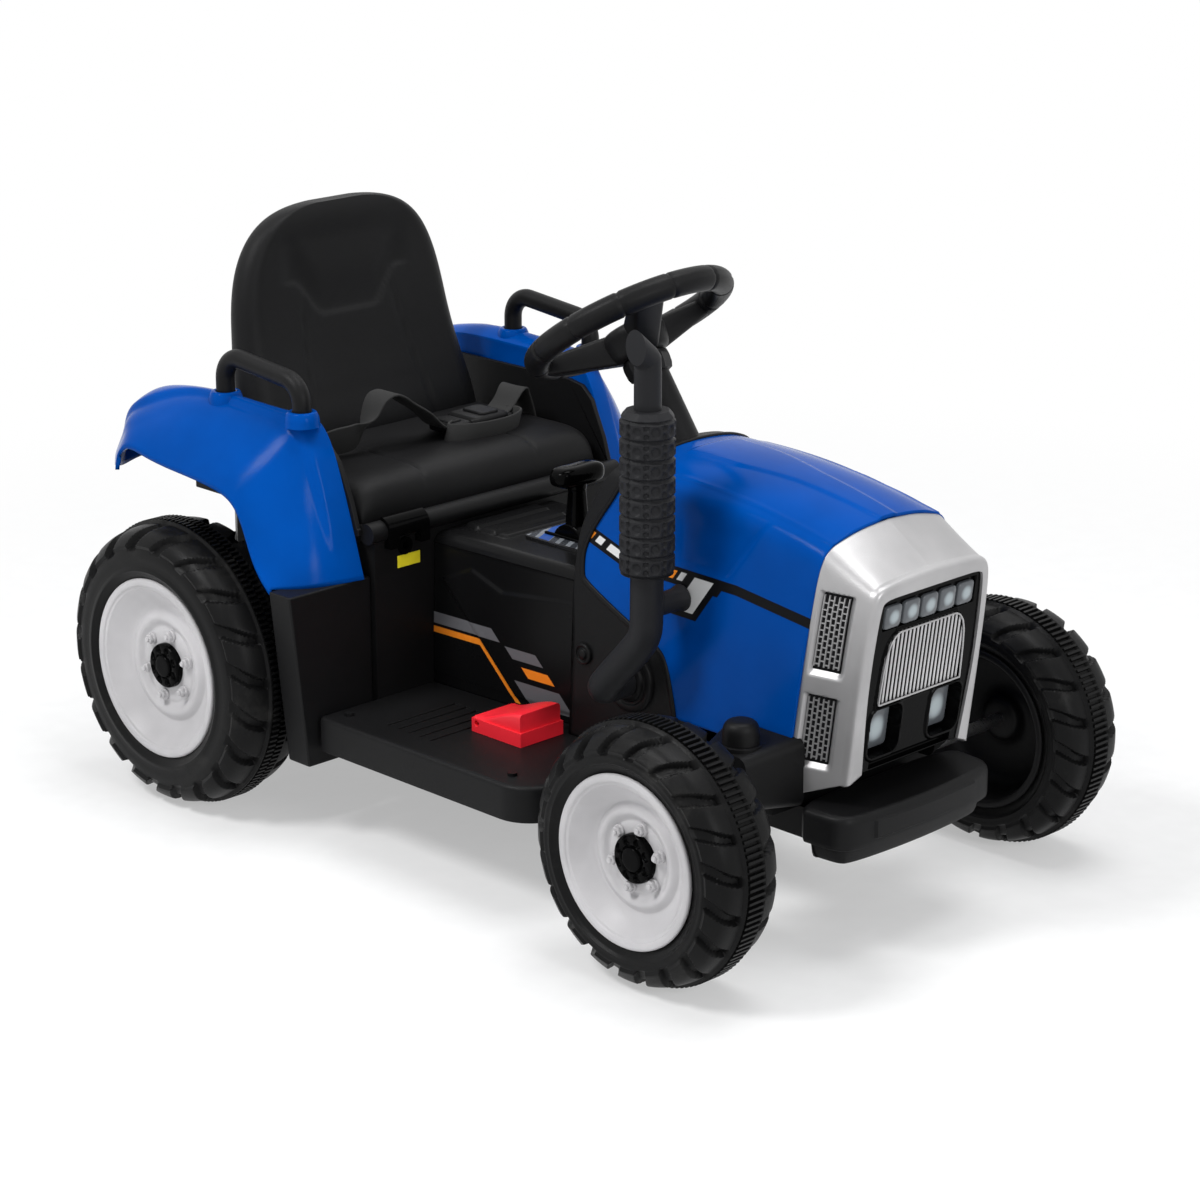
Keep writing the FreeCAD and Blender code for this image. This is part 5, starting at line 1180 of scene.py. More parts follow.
def lens_uv(piece, pitch, start, rise, spread):
    """Front view as UV: the place within each pad across and up."""
    mesh = piece.data
    corner = np.zeros(len(mesh.loops), np.int32)
    mesh.loops.foreach_get("vertex_index", corner)
    co = np.zeros(len(mesh.vertices) * 3, np.float32)
    mesh.vertices.foreach_get("co", co)
    co = co.reshape(-1, 3)[corner] / MM
    across = ((co[:, 1] - start) / pitch + 0.5) % 1.0 - 0.5
    up = (co[:, 2] - rise[0]) / (rise[1] - rise[0])
    uv = np.stack([0.5 + across * spread, up], -1)
    mesh.uv_layers["UVMap"].data.foreach_set("uv", uv.ravel())


def lamps():
    """Five square lenses in the upper row, and two lenses deep in the lower pockets."""
    row = [lens_pad(LAMP_PITCH * k, LAMP_HALF, LAMP_Z, 5.6, 0.8) for k in range(-2, 3)]
    piece = put("headlight_pads", row, "headlight_lenses", "frosted lens", crease=45)
    lens_uv(piece, LAMP_PITCH, 0.0, LAMP_Z, LAMP_PITCH / (LAMP_Z[1] - LAMP_Z[0]))
    low = [lens_pad(side * LOW_LAMP_Y, LOW_LAMP_HALF, LOW_LAMP_Z, 15.0, 1.2) for _, side in SIDES]
    piece = put("lower_lamp_pads", low, "lower_lamp_lenses", "frosted lens", crease=45)
    lens_uv(piece, 2 * LOW_LAMP_Y, LOW_LAMP_Y, LOW_LAMP_Z, 2.4)


class TRACTOR_OT_mask(bpy.types.Operator):
    """The silver mask with its vents, the gloss fascia, the grille and the lamps"""
    bl_idname = "tractor.mask"
    bl_label = "Grille mask"

    def execute(self, context):
        for make in (mask_shell, mask_vents, fascia_face, grille, lamps):
            make()
        return {"FINISHED"}


# Fenders

FENDER_Y, FENDER_Z = 150.0, 349.0
HANDLE_X, HANDLE_Y, HANDLE_Z = (-261.0, -161.0), 167.0, 350.5
AXLE_X = WHEELS["rear"]["x"]
# Distance out from the inner edge, and the outline there as (X from the axle, Z from the top)
FENDER_SECTIONS = {
    0.0: [(-120, -75), (-117, -48), (-104, -22), (-68, -8), (76, -4), (105, -6), (130, -43),
          (145, -87), (159, -132)],
    15.0: [(-120, -75), (-116, -44), (-102, -18), (-64, -3), (74, 0), (102, -5), (128, -44),
           (142, -87), (156, -132)],
    40.0: [(-116, -78), (-112, -49), (-104, -29), (-76, -14), (66, -13), (96, -22), (123, -59),
           (137, -92), (150, -132)],
    60.0: [(-98, -72), (-94, -50), (-85, -34), (-54, -27), (55, -36), (85, -46), (111, -80),
           (124, -105), (138, -132)],
    72.0: [(-79, -65), (-75, -53), (-67, -45), (-40, -45), (53, -55), (78, -63), (98, -95),
           (110, -117), (125, -132)],
}


def fender_sheet(side):
    """Sections along the wheel, each a spline through its points, joined across by a spline from
    section to section; the skirt follows the inner section inwards along its normal, and the
    outer edge turns down into a lip."""
    rows = []
    for reach, points in FENDER_SECTIONS.items():
        line = curve_through(np.array(points) + (AXLE_X, FENDER_Z), 96)
        rows.append(xyz(line[:, 0], side * (FENDER_Y + reach), line[:, 1]))
    rows = np.array(rows)
    across = curve_through(rows.reshape(len(rows), -1), 44).reshape(44, 96, 3)
    across = fender_rail(across, side)
    inner, outer = across[0], across[-1]
    run = np.gradient(inner, axis=0)
    normal = unit(xyz(run[:, 2], 0.0, -run[:, 0]))
    normal *= np.sign((normal * (np.array([AXLE_X, 0, 200]) - inner * (1, 0, 1))).sum(-1).mean())
    depth = np.array([34.0, 22.0, 10.0, 3.0, 1.0])[:, None, None]
    lean = np.array([0.0, 0.0, 0.0, 0.0, 0.4])[:, None, None] * (0, -side, 0)
    lip = outer + np.array([(0, 1.2 * side, -1.6), (0, 1.6 * side, -5.0)])[:, None]
    return np.concatenate([inner + normal * depth + lean, across, lip])


def fender_rail(sheet, side):
    """Leave a broad rail along the inner edge: beside it the sheet sinks along its normal and
    comes back towards the outer edge. The rail is wider at the rear and runs out at the front
    foot."""
    s = np.linspace(0, 1, sheet.shape[1])
    reach = np.abs(sheet[..., 1]) - FENDER_Y
    wide = 18.0 * (1 - soft(s, 0.15, 0.38))
    sink = 4.6 * (soft(reach, 19.0 + wide, 27.0 + wide) - soft(reach, 42.0 + wide, 74.0))
    sink = sink * (1 - soft(s, 0.82, 0.97)) * soft(s, 0.02, 0.1)
    normal = unit(np.cross(np.gradient(sheet, axis=0), np.gradient(sheet, axis=1)))
    outward = sheet - (AXLE_X, side * FENDER_Y, 200)
    normal *= np.sign((normal * outward).sum(-1, keepdims=True))
    return sheet - normal * sink[..., None]


class TRACTOR_OT_fenders(bpy.types.Operator):
    """The blue fenders with their inner skirts and the collars under the handles"""
    bl_idname = "tractor.fenders"
    bl_label = "Fenders"

    def execute(self, context):
        collar = eased([(15, -9), (14.5, -2), (12.6, 2.5), (11.4, 3.5), (8.6, 3.5), (8.2, 1.5)])
        for word, side in SIDES:
            node = f"fender_{word}"
            sheet = Patch(fender_sheet(side), inside=(AXLE_X, side * 185, 250))
            put(f"{node}_shell", [sheet], node, "blue paint", crease=38,
                wall=size("fender_wall"))
            collars = [turned(collar, (x, side * HANDLE_Y, HANDLE_Z), UP, 40) for x in HANDLE_X]
            put(f"{node}_collars", collars, None, "blue paint")
        return {"FINISHED"}


# Seat and belt

SEAT_X, SEAT_DEEP, SEAT_HALF, SEAT_FOOT = -213.0, 93.0, 143.0, 258.0
BACK_TALL = 231.0
SEAM_WIDTH = 1.7
# Share of the height, and X of the rear and the front there
BACK_LEAN = [(0, -312, -258), (0.2, -313, -260), (0.4, -320, -276), (0.6, -325, -289),
             (0.76, -327, -295), (0.88, -326, -298), (0.96, -323, -301), (1, -319, -305)]
BELT_RIGHT = [(-206, -128, 286), (-205, -118, 300), (-201, -98, 307), (-198, -76, 310),
              (-199, -62, 322), (-200, -50, 338), (-200, -40, 340), (-199, -22, 330),
              (-197, -2, 316), (-196, 12, 303), (-196, 20, 299)]
BELT_LEFT = [(-196, 80, 300), (-197, 92, 306), (-199, 104, 316), (-203, 114, 318),
             (-206, 124, 306), (-207, 131, 286)]
BELT_TAIL = [(-190, 24, 298), (-180, 12, 298.5), (-168, 22, 299), (-163, 48, 298.6),
             (-165, 76, 299), (-176, 92, 300), (-190, 90, 300)]


def cushion():
    """A rounded oblong field: height falls off as a high power towards its edges, and the plan's
    corners pull in; two seams run from front to back and the middle is a little hollow."""
    s = np.sin(np.linspace(-1, 1, 121) * np.pi / 2)[:, None]
    t = np.sin(np.linspace(-1, 1, 181) * np.pi / 2)[None]
    x = SEAT_X + SEAT_DEEP * s * np.sqrt(1 - 0.1 * t ** 6)
    y = SEAT_HALF * t * np.sqrt(1 - 0.1 * s ** 6)
    rise = ((1 - np.abs(s) ** 9) * (1 - np.abs(t) ** 12)) ** 0.36
    hollow = 3.0 * (1 - (y / SEAT_HALF) ** 2) * (1 - np.clip(s, -1, 1) ** 2)
    seam = size("seam") * bell(np.abs(y) - 60 - 5 * s, SEAM_WIDTH)
    hole = 5.0 * (1 - soft(np.hypot(x + 174, y - 127.7), 2.4, 3.4))
    top = SEAT_FOOT + 36.5 * rise - (hollow + seam + hole) * soft(rise, 0.4, 0.8)
    return Patch(np.concatenate([xyz(x, y, top), xyz(x, y, SEAT_FOOT)[::-1]]), loop_rows=True)


def backrest():
    """Rounded oblongs stacked from the cushion to the top; depth and lean follow splines, and
    the width flares at the foot and closes in above as a high-powered ellipse. The front face is
    a little hollow, with a brow-shaped crease that is level in the middle and climbs to both
    sides, and two seams below it."""
    fine = curve_through(np.array(BACK_LEAN) * (BACK_TALL, 1, 1), 300)
    rise = BACK_TALL * np.sin(np.linspace(0, np.pi / 2, 131))
    rear, fore = (np.interp(rise, fine[:, 0], fine[:, k]) for k in (1, 2))
    climb = np.clip((rise - 95) / 136.4, 0, 1)
    flare = 11.0 * np.clip(1 - rise / 130, 0, 1) ** 1.5
    half_x = (fore - rear) / 2
    half_y = (127.0 + flare - 0.065 * rise) * (1 - climb ** 3.4) ** (1 / 3.4)
    z, middle = SEAT_FOOT + rise[:, None], (rear + fore)[:, None] / 2
    ring = rounded_ring(half_x, half_y, np.minimum(half_x, half_y) * 0.96, 9)
    ring = filled_sides(ring)
    x, y = ring[..., 0], ring[..., 1]
    away = np.abs(y)
    front = soft(x, 0.0, 6.0)
    hollow = 5.0 * (1 - (away / half_y[:, None]) ** 2)
    hollow = hollow * soft(z, 290.0, 330.0) * (1 - soft(z, 455.0, 488.0))
    over = z - 393.0 - 31.0 * soft(away, 28.0, 60.0)
    brow = soft(over, -1.5, 1.5) * (1 - soft(over, 3.0, 46.0)) * (1 - soft(away, 58.0, 76.0))
    seam = bell(away - 52.5 - 0.165 * (394 - z), SEAM_WIDTH) * (1 - soft(z, 398.0, 420.0))
    seen = (x - front * hollow) - front * (3.0 * brow + size("seam") * seam)
    return tube(xyz(seen + middle, y, z))


def filled_sides(ring):
    """Put more points on the long front and rear runs of each ring, evenly between the arcs."""
    per = ring.shape[1] // 4
    share = np.linspace(0, 1, 61)[1:-1][None, :, None]
    pieces = []
    for k in range(4):
        pieces.append(ring[:, k * per:(k + 1) * per])
        if k in (1, 3):
            start, end = pieces[-1][:, -1:], np.roll(ring, -(k + 1) * per, 1)[:, :1]
            pieces.append(start * (1 - share) + end * share)
    return np.concatenate(pieces, 1)


def lap_belt():
    """Flat webbing carried along paths over the cushion, turning on edge where it leaves the
    seat; the buckle's two halves are rounded blocks."""
    wide, narrow = rounded_ring(14.0, 1.1, 1.0, 3), rounded_ring(8.0, 1.1, 1.0, 3)
    right, left = curve_through(BELT_RIGHT, 110), curve_through(BELT_LEFT, 70)
    tail = curve_through(BELT_TAIL, 70)
    tilt = np.radians(68) * (1 - soft(right[:, 1], -80.0, -48.0))
    edge = xyz(np.cos(tilt), 0.0, np.sin(tilt))
    for name, path, ring, out, node in (
            ("belt_strap_right", right, wide, edge, "belt_strap_right"),
            ("belt_strap_left", left, wide, FORWARD, "belt_strap_left"),
            ("belt_tail", tail, narrow, (0, 0.3, 1), None)):
        put(f"{name}_tape", [tube(sweep(path, ring, out))], node, "webbing", crease=60)
    put("buckle_socket_case", [block((-216, 40, 293.6), (-176, 84, 306), 7, 4),
                               block((-210, 54, 304.5), (-182, 76, 308), 5, 1.5),
                               block((-214, 80, 294.5), (-178, 90, 303), 4, 2.5)], "buckle_socket")
    put("buckle_tongue_case", [block((-213, 16, 294.6), (-179, 42, 304), 6, 3),
                               block((-205, 20, 303), (-187, 36, 305.4), 4, 1.2),
                               block((-219, 22, 296.5), (-173, 38, 302.4), 3, 2.4)],
        "buckle_tongue")


class TRACTOR_OT_seat(bpy.types.Operator):
    """The moulded seat and the lap belt"""
    bl_idname = "tractor.seat"
    bl_label = "Seat and belt"

    def execute(self, context):
        put("seat_shell", [cushion(), backrest()], "seat", "seat black", crease=50)
        lap_belt()
        return {"FINISHED"}


# Tunnel and controls

TUNNEL_REAR, TUNNEL_FRONT = -105.0, 69.0
TUNNEL_FOOT, TUNNEL_EDGE, TUNNEL_TOP = 110.0, 230.0, 242.0
LEVER_X = -8.0


def tunnel_cover():
    """A section of two flanks, rounded edges and a flat top, carried along X and narrowing; the
    flanks carry a raised panel with a folded upper edge, and the top has three low steps behind
    the gate. The top is open at the lever's slot."""
    x = np.linspace(TUNNEL_REAR, TUNNEL_FRONT, 141)[:, None]
    half = 78 - 8 * (x - TUNNEL_REAR) / (TUNNEL_FRONT - TUNNEL_REAR)
    turn = np.linspace(0, np.pi / 2, 9)[1:]
    rise = TUNNEL_TOP - TUNNEL_EDGE
    side_z = np.linspace(TUNNEL_FOOT, TUNNEL_EDGE, 90)
    edge_z, edge_in = TUNNEL_EDGE + rise * np.sin(turn), rise * (1 - np.cos(turn))
    across = np.linspace(1, -1, 61)[1:-1]
    flat_z = np.full(len(across), TUNNEL_TOP)
    z = np.concatenate([side_z, edge_z, flat_z, edge_z[::-1], side_z[::-1]])
    inset = np.concatenate([side_z * 0, edge_in])
    n = len(inset)
    flank = half - 3.0 * (z[:n] - TUNNEL_FOOT) / (TUNNEL_TOP - TUNNEL_FOOT) - inset
    y = np.concatenate([-flank, -(half - 15.0) * across, flank[:, ::-1]], 1)
    z = np.broadcast_to(z, y.shape).copy()
    fold = np.interp(x, [-111, -60, -24, 47, 70], [199, 222, 209.5, 217, 219])
    panel = window(z - fold, -200.0, -5.0, 4.0) * soft(z, 117.0, 121.0)
    panel = panel * (np.abs(y) > 50) * (z < 232)
    low = 1 - soft(x + 1.02 * z, 112.0, 116.0)
    y -= np.sign(y) * (size("panel_step") * (1 - panel) * (z < 234) + 1.2 * low * panel)
    steps = (window(x, -100, -86, 1.6) + window(x, -80, -66, 1.6) * 0.8
             + window(x, -61, -51, 1.6) * 0.6)
    z += 3.0 * steps * (1 - soft(np.abs(y), 40.0, 44.0)) * (z > 240)

    def off_slot(middle):
        """True away from the oblong that the lever moves in."""
        x, y, z = middle.T
        return ~((np.abs(x - LEVER_X) < 24) & (np.abs(y) < 13) & (z > 239))

    put("tunnel_cover_shell", [Patch(xyz(x, y, z), inside=(-10, 0, 150), keep=off_slot)],
        "tunnel_cover", finish="striped black", crease=35, wall=2.4)


def cowl_plugs():
    """A stepped round plug on either side of the cowl."""
    plug = eased([(9, -2), (9, 0.6), (8, 1.4), (6.6, 1.4), (6.2, 0.2), (4.6, 0.2), (4.2, 2.2),
                  (1, 2.6)])
    put("cowl_plugs", [turned(plug, (84, side * 84.2, 182), (0, side, 0), 32)
                       for _, side in SIDES])


def gear_lever():
    """Drum and tapering stem, a T knob of a plump bar on a rounded block, and two rails beside
    the slot."""
    drum = eased([(15, -11), (18, -11), (19, -10), (19, 10), (18, 11), (15, 11)], 1)
    rise = np.linspace(0, 1, 14)
    ring = rounded_ring(7.5 - 2.2 * rise, 9.5 - 3.2 * rise, 4.5 - 1.6 * rise, 5)
    stem = xyz(ring[..., 0] + LEVER_X, ring[..., 1], (252 + 38 * rise)[:, None])
    put("gear_lever_stem", [turned(drum, (LEVER_X, 0, 237), (0, 1, 0), 56), tube(stem)],
        "gear_lever", "gloss black", "lever")
    y = np.linspace(-1, 1, 41)
    plump = np.sqrt(np.maximum(0.02, 1 - np.abs(y) ** 5))
    grip = rounded_ring(12.0 * plump, 9.4 * plump * (1 - 0.1 * (1 - y ** 2)), 7.0 * plump, 6)
    put("gear_knob_grip", [tube(sweep(xyz(LEVER_X, 27 * y, 297.6), grip, FORWARD)),
                           block((-15, -8, 284), (-1, 8, 296), 6, 2)],
        "gear_knob", "gloss black", "lever", crease=45)
    put("gear_gate_rails", [block((-33, low, 243.4), (17, high, 246.2), 1.2, 0.9)
                            for low, high in ((-14.5, -11.8), (11.8, 14.5))],
        None, "gloss black")


def pedal():
    """A smooth wedge of rounded sections that rise towards the toe, on a low base of its red."""
    x = np.linspace(0, 1, 30)
    thick = 3.0 + 7.0 * soft(x, 0.0, 1.0)
    ring = rounded_ring(thick, np.full(30, 22.5), np.minimum(thick * 0.8, 3.0), 5)
    put("accelerator_pedal_wedge", [tube(sweep(xyz(9 + 55 * x, -113.0, 117 + thick), ring, UP))],
        "accelerator_pedal", "pedal red", "pedal")
    eased_copy("pedal_base", 1.6, "pedal red")


class TRACTOR_OT_tunnel(bpy.types.Operator):
    """The tunnel cover, the plugs of the cowl, the gear lever and the pedal"""
    bl_idname = "tractor.tunnel"
    bl_label = "Tunnel and controls"

    def execute(self, context):
        for make in (tunnel_cover, cowl_plugs, gear_lever, pedal):
            make()
        return {"FINISHED"}


# Steering wheel

STEER_TILT = math.radians(34)
STEER_CENTRE = np.array((52.3, 0.0, 435.6))
STEER_ALONG = np.array((math.cos(STEER_TILT), 0.0, math.sin(STEER_TILT)))
STEER_AXIS = np.array((-math.sin(STEER_TILT), 0.0, math.cos(STEER_TILT)))
STEER_ACROSS = np.array((0.0, 1.0, 0.0))


def steer_grip():
    """A circle carried round a larger one, pinched a little at twelve grip seams and along its
    outer and inner line."""
    angle, turn = full_turn(240)[:, None], full_turn(32)
    seam = bell((angle * 12 / (2 * np.pi)) % 1.0 - 0.5, 0.025)
    split = bell(turn - np.pi, 0.09) + bell(turn, 0.09)
    r = 10.5 - 1.0 * seam - 0.5 * split
    reach = 80.7 + r * np.cos(turn)
    return torus(STEER_CENTRE + (reach * np.cos(angle))[..., None] * STEER_ALONG
                 + (reach * np.sin(angle))[..., None] * STEER_ACROSS
                 + (r * np.sin(turn))[..., None] * STEER_AXIS)


def steer_spoke(angle):
    """A rounded blade that runs straight from the hub up to the rim and grows shallower."""
    t = np.linspace(0, 1, 12)
    away = math.cos(angle) * STEER_ALONG + math.sin(angle) * STEER_ACROSS
    path = STEER_CENTRE + away * (14 + 63 * t)[:, None] + STEER_AXIS * (-17 + 14 * t)[:, None]
    return tube(sweep(path, rounded_ring(13.0 - 6.0 * t, 11.0 + 2.0 * t, 3.0 + 0 * t, 5),
                      STEER_AXIS))


class TRACTOR_OT_steering(bpy.types.Operator):
    """The steering wheel: its grip, its hub with the eight-sided neck, and three spokes"""
    bl_idname = "tractor.steering"
    bl_label = "Steering"

    def execute(self, context):
        hub = eased([(16, -30), (24, -28), (26, -14), (26, -8), (24, -4), (19, -2.6), (17, -2.4)])
        neck = eased([(14, -48), (19, -46), (20, -32), (17, -29)], 1)
        pieces = [steer_grip(), turned(hub, STEER_CENTRE, STEER_AXIS, 48, STEER_ALONG),
                  turned(neck, STEER_CENTRE, STEER_AXIS, 8, STEER_ALONG)]
        pieces += [steer_spoke(math.radians(angle)) for angle in (90, 210, 330)]
        put("steering_wheel_rim", pieces, "steering_wheel", body="steering")
        return {"FINISHED"}


# Exhaust

STACK_X, STACK_Y = 188.0, -117.5
PIPE_R, SLEEVE_R = 13.0, 21.5
SLEEVE_LOW, SLEEVE_HIGH = 282.0, 404.0
PITS_ROUND = 9


def exhaust_pipe():
    """A circle carried along a spline from the cowl outwards and up, growing narrower, with a
    mitred end."""
    y = STACK_Y
    path = eased([(136, -80, 173), (136, -104, 173), (138, -116, 174), (146, y, 183), (176, y, 215),
                  (187, y, 230), (STACK_X, y, 248), (STACK_X, y, 330), (STACK_X, y, 438)])
    path = curve_through(path, 130)
    bore = PIPE_R - 2.4 * soft(path[:, 2:], 300.0, 390.0)
    pipe = sweep(path, circle(1.0, 40) * bore[:, None], (0.3, 1, 0.2))
    return tube(np.concatenate([pipe, exhaust_tip(bore[-1, 0])]))


def exhaust_tip(bore):
    """The mitred end: the pipe's circle, tilted outwards in two steps, then drawn along its own
    direction to an upright plane flush with the pipe's side."""
    start = circle(bore, 40)
    first = unit(np.array((0.3, 1.0)))
    side = start[:, 0:1] * first + start[:, 1:2] * np.array((-first[1], first[0]))
    rings = []
    for lean, back, z in ((25.0, 0.0, 448.0), (50.0, 1.5, 450.0)):
        c, s = math.cos(math.radians(lean)), math.sin(math.radians(lean))
        rings.append(xyz(STACK_X + side[:, 0], STACK_Y - back + side[:, 1] * c, z + side[:, 1] * s))
    along = np.array((0.0, -s, c))
    far = rings[-1] + along * ((STACK_Y - PIPE_R - rings[-1][:, 1:2]) / along[1])
    return np.array(rings + [far, far * (0.15, 1, 0.15) + far.mean(0) * (0.85, 0, 0.85)])


def exhaust_sleeve():
    """Rounded rings one above another, with round pits pressed in at set places: one large, then
    two small ones, repeating round each ring; the top draws in as an eight-sided collar."""
    rings = setting("sleeve_rings")
    v = np.linspace(0, 1, rings * 14 + 1)[:, None]
    angle = full_turn(256)
    phase = (v * rings) % 1.0
    groove = 1 - soft(np.minimum(phase, 1 - phase), 0.05, 0.11)
    level = v * rings - 0.5
    row, cell = level - np.round(level), (angle * PITS_ROUND / (2 * np.pi)) % 1.0
    wide, tall = 2 * np.pi * SLEEVE_R / PITS_ROUND, (SLEEVE_HIGH - SLEEVE_LOW) / rings

    def pit(across, up, radius):
        """Distance from a pit's middle, in radii."""
        return np.hypot((cell - across) * wide / radius, (row - up) * tall / radius)

    near = np.minimum(pit(0.3, 0.0, 4.0), np.minimum(pit(0.8, 0.22, 2.5), pit(0.8, -0.22, 2.5)))
    r = SLEEVE_R - 2.2 * groove - 1.6 * (1 - soft(near, 0.7, 1.05))
    r = r - 0.5 * bell(angle - np.pi * 1.5, 0.02)
    facet = np.cos(np.pi / 8) / np.cos((angle + np.pi / 8) % (np.pi / 4) - np.pi / 8)
    collar = np.array([21.0, 20.6, 17.0])[:, None] * (0.35 + 0.65 * facet) ** np.array(
        [0.6, 1.0, 1.0])[:, None]
    foot = np.array([[17.0], [20.6]]) + 0 * angle
    r = np.concatenate([foot, r, collar])
    z = np.concatenate([[281.0, 281.2], SLEEVE_LOW + v[:, 0] * (SLEEVE_HIGH - SLEEVE_LOW),
                        [405.0, 406.0, 410.0]])
    return tube(xyz(STACK_X + r * np.cos(angle), STACK_Y + r * np.sin(angle), z[:, None]))


class TRACTOR_OT_exhaust(bpy.types.Operator):
    """The exhaust pipe with the peg that holds it, and its ringed sleeve"""
    bl_idname = "tractor.exhaust"
    bl_label = "Exhaust"

    def execute(self, context):
        peg = eased([(11, 0), (10, 4), (9, 6), (9, 34), (11, 38)], 1)
        peg = turned(peg, (STACK_X, STACK_Y + 38, 252), (0, -1, 0), 28)
        put("exhaust_pipe_bend", [exhaust_pipe(), peg], "exhaust_pipe",
            "stack grey", crease=32)
        put("exhaust_sleeve_rings", [exhaust_sleeve()], "exhaust_sleeve",
            "stack grey", crease=32)
        return {"FINISHED"}


# Body and trim

EASED = {"floor_pan": 1.2, "rear_body": 4.0, "wheel_columns": 4.0, "seat_wings": 1.6,
         "front_axle_beam": 2.5}
REAR_WALL_X = -365.0
KINGPIN_Y = 113.0
# Height, and the distance by which the bumper's outline is drawn in there
BUMPER_LEVELS = [(78, 14), (78.6, 10), (82, 8.5), (90, 7), (91.2, 3), (92.5, 0.6), (95, 0), (97, 0),
                 (98.4, 0), (112, 0), (113.4, 0.1), (116.6, 1), (118.4, 2.6), (119, 5)]


def bumper():
    """The plan outline, bowed in front with slanted ends, carried up Z and drawn in along its
    normals: a chin below, a full band with a raised middle panel, and a rounded top."""
    half = np.array([(318, 0), (318, 93), (352, 92), (364, 88.5), (371, 80), (375, 50), (377, 0)])
    plan = np.concatenate([half, half[-2:0:-1] * (1, -1), half[:1]])
    plan = even(eased(plan), 221)[:-1]
    along = unit(np.roll(plan, -1, 0) - np.roll(plan, 1, 0))
    out = np.stack([along[:, 1], -along[:, 0]], -1)
    out *= np.sign((out * (plan - (350.0, 0.0))).sum(-1).mean())
    z, inset = np.array(BUMPER_LEVELS).T[..., None]
    ring = plan - inset[..., None] * out
    x, y = ring[..., 0], ring[..., 1]
    panel = window(y, -58, 58, 2.4) * window(z, 98.0, 112.4, 1.0) * (x > 360)
    put("bumper_shell", [tube(xyz(x + 2.0 * panel, y, z))], "bumper", crease=35)


def axle_fairings():
    """Rounded oblongs across Y, from the bonnet's flank out round the kingpin, growing smaller."""
    t = np.linspace(0, 1, 9)
    low_x, high_x, low_z, high_z = 240 + 18 * t, 318 - 12 * t, 112 + 6 * t, 169 - 7 * t
    ring = rounded_ring((high_x - low_x) / 2, (high_z - low_z) / 2, 9.0 + 0 * t, 6)
    x = ring[..., 0] + ((low_x + high_x) / 2)[:, None]
    z = ring[..., 1] + ((low_z + high_z) / 2)[:, None]
    put("axle_fairings", [tube(xyz(x, side * (78 + 53 * t)[:, None], z)) for _, side in SIDES])


def rear_panel():
    """A low panel on the rear wall with level ribs: rounded oblongs in Y and Z, drawn in as they
    rise to the rear."""
    plates = [(110.0, 40.0, 128.0, 12.0, 2.2)]
    plates += [(88.0, 4.0, z, 3.6, 4.2) for z in (104.0, 120.0, 136.0, 152.0)]
    inset = np.array([0.0, 0.0, 0.5, 1.4])
    share = np.array([0.0, 0.6, 0.9, 1.0])[:, None]
    pieces = []
    for half_y, half_z, z, corner, rise in plates:
        ring = rounded_ring(half_y - inset, half_z - inset, corner - inset, 6)
        pieces.append(tube(xyz(REAR_WALL_X - rise * share, ring[..., 0], z + ring[..., 1])))
    put("rear_panel", pieces)


def kingpin_caps():
    """A domed section turned upright over each kingpin."""
    dome = eased([(14.5, 166), (14.5, 172), (14, 179), (11, 183.5), (6, 184.5), (1, 184.6)])
    put("kingpin_caps_domes", [turned(dome, (WHEELS["front"]["x"], side * KINGPIN_Y, 0), UP, 40)
                               for _, side in SIDES], "kingpin_caps")


class TRACTOR_OT_body(bpy.types.Operator):
    """The floor, the rear body, the bumper, the front axle and the small trim"""
    bl_idname = "tractor.body"
    bl_label = "Body and trim"

    def execute(self, context):
        for node, width in EASED.items():
            eased_copy(node, width)
        eased_copy("seat_latch", 0.8, finish="gloss black")
        for make in (bumper, kingpin_caps, axle_fairings, rear_panel):
            make()
        tab = block((-105.6, -115, 219.6), (-104.2, -90, 230.2), 0.6, 0.5)
        put("yellow_tab", [tab], finish="tab yellow")
        return {"FINISHED"}


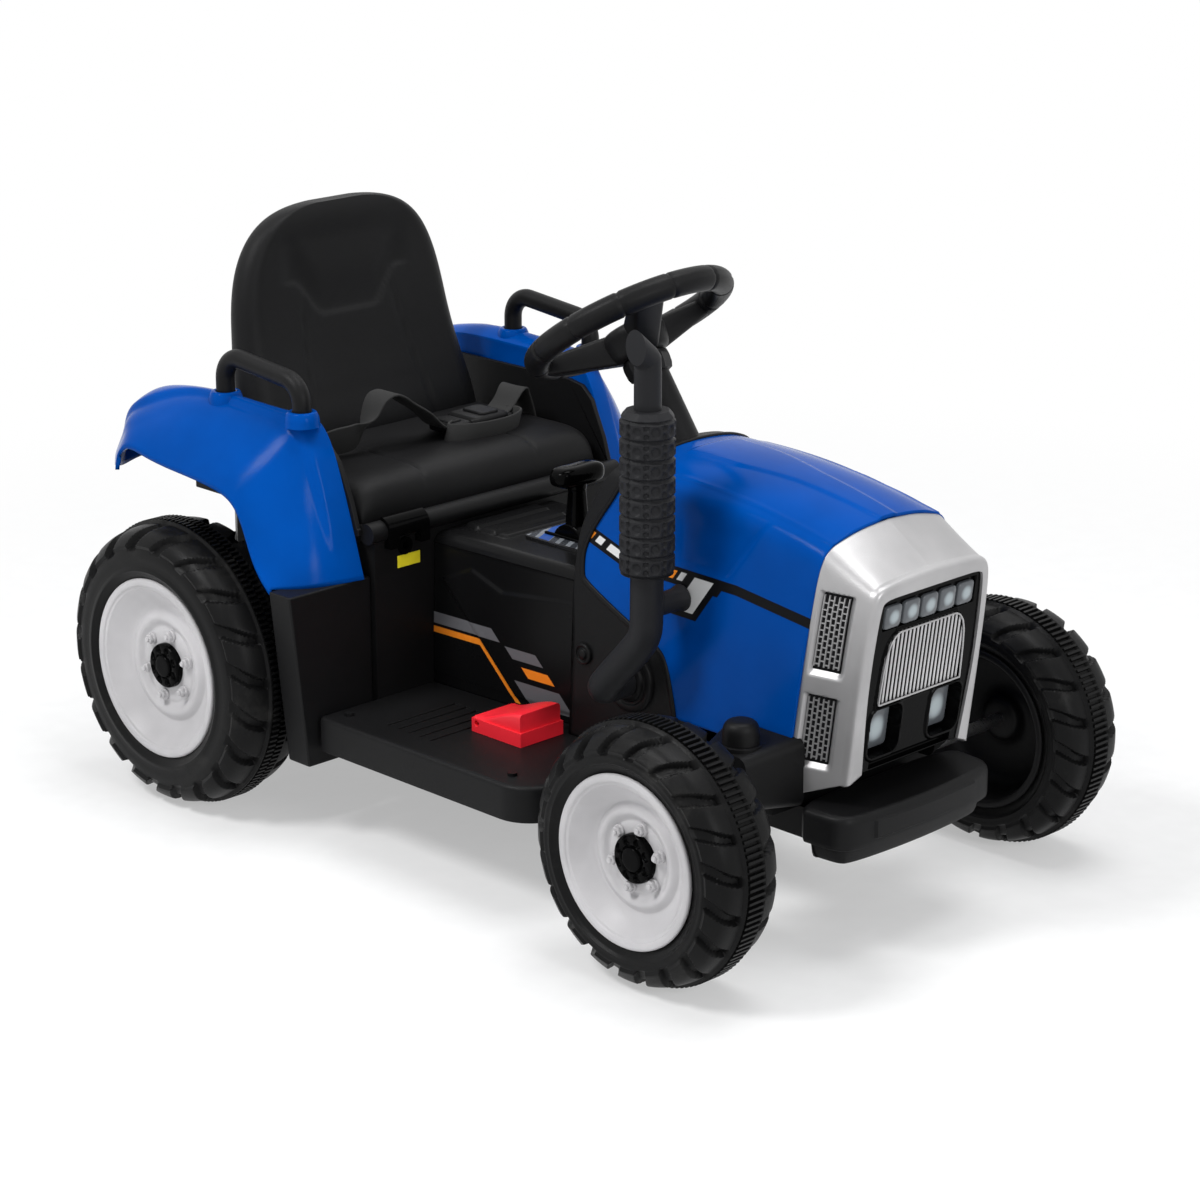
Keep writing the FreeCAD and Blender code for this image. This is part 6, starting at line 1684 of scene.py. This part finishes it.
SHOWN = {
    "satin black": ("column_shroud", "horn_button", "body_screws", "handle_left", "handle_right"),
    "gloss black": ("charging_socket",),
    "gate print": ("gear_gate",),
    "bright steel": ("rear_axle", "steering_shaft", "tie_rod", "pedal_spring", "knuckle_left",
                     "knuckle_right"),
    "motor steel": ("drive_motors",),
    "electrics": ("gearboxes", "battery", "controller"),
}


class TRACTOR_OT_fittings(bpy.types.Operator):
    """Finishes for the frame's own parts that stay as they are"""
    bl_idname = "tractor.fittings"
    bl_label = "Fittings"

    def execute(self, context):
        for finish, nodes in SHOWN.items():
            for node in nodes:
                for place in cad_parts[node].material_slots:
                    place.material = bpy.data.materials[finish]
        return {"FINISHED"}


# Panel and start

STEPS = (TRACTOR_OT_stage, TRACTOR_OT_finishes, TRACTOR_OT_wheels, TRACTOR_OT_bonnet,
         TRACTOR_OT_mask, TRACTOR_OT_fenders, TRACTOR_OT_seat, TRACTOR_OT_tunnel,
         TRACTOR_OT_steering, TRACTOR_OT_exhaust, TRACTOR_OT_body, TRACTOR_OT_fittings)


class TRACTOR_PT_panel(bpy.types.Panel):
    """Settings and steps of the tractor"""
    bl_idname = "TRACTOR_PT_panel"
    bl_label = "Ride-on tractor"
    bl_space_type = "VIEW_3D"
    bl_region_type = "UI"
    bl_category = "Tractor"

    def draw(self, context):
        for group in (context.scene.tractor_sizes, context.scene.tractor_colours):
            box = self.layout.box()
            for key in type(group).__annotations__:
                box.prop(group, key)
        for step in STEPS:
            self.layout.operator(step.bl_idname)


CLASSES = (TractorColours, TractorSizes) + STEPS + (TRACTOR_PT_panel,)


def register():
    """Register the classes and hang the settings on the scene."""
    for cls in CLASSES:
        bpy.utils.register_class(cls)
    bpy.types.Scene.tractor_colours = bpy.props.PointerProperty(type=TractorColours)
    bpy.types.Scene.tractor_sizes = bpy.props.PointerProperty(type=TractorSizes)


def unregister():
    """Take the settings off the scene and unregister the classes."""
    del bpy.types.Scene.tractor_sizes
    del bpy.types.Scene.tractor_colours
    for cls in reversed(CLASSES):
        bpy.utils.unregister_class(cls)


def main():
    register()
    for step in STEPS:
        group, name = step.bl_idname.split(".")
        getattr(getattr(bpy.ops, group), name)()


if __name__ == "__main__":
    main()
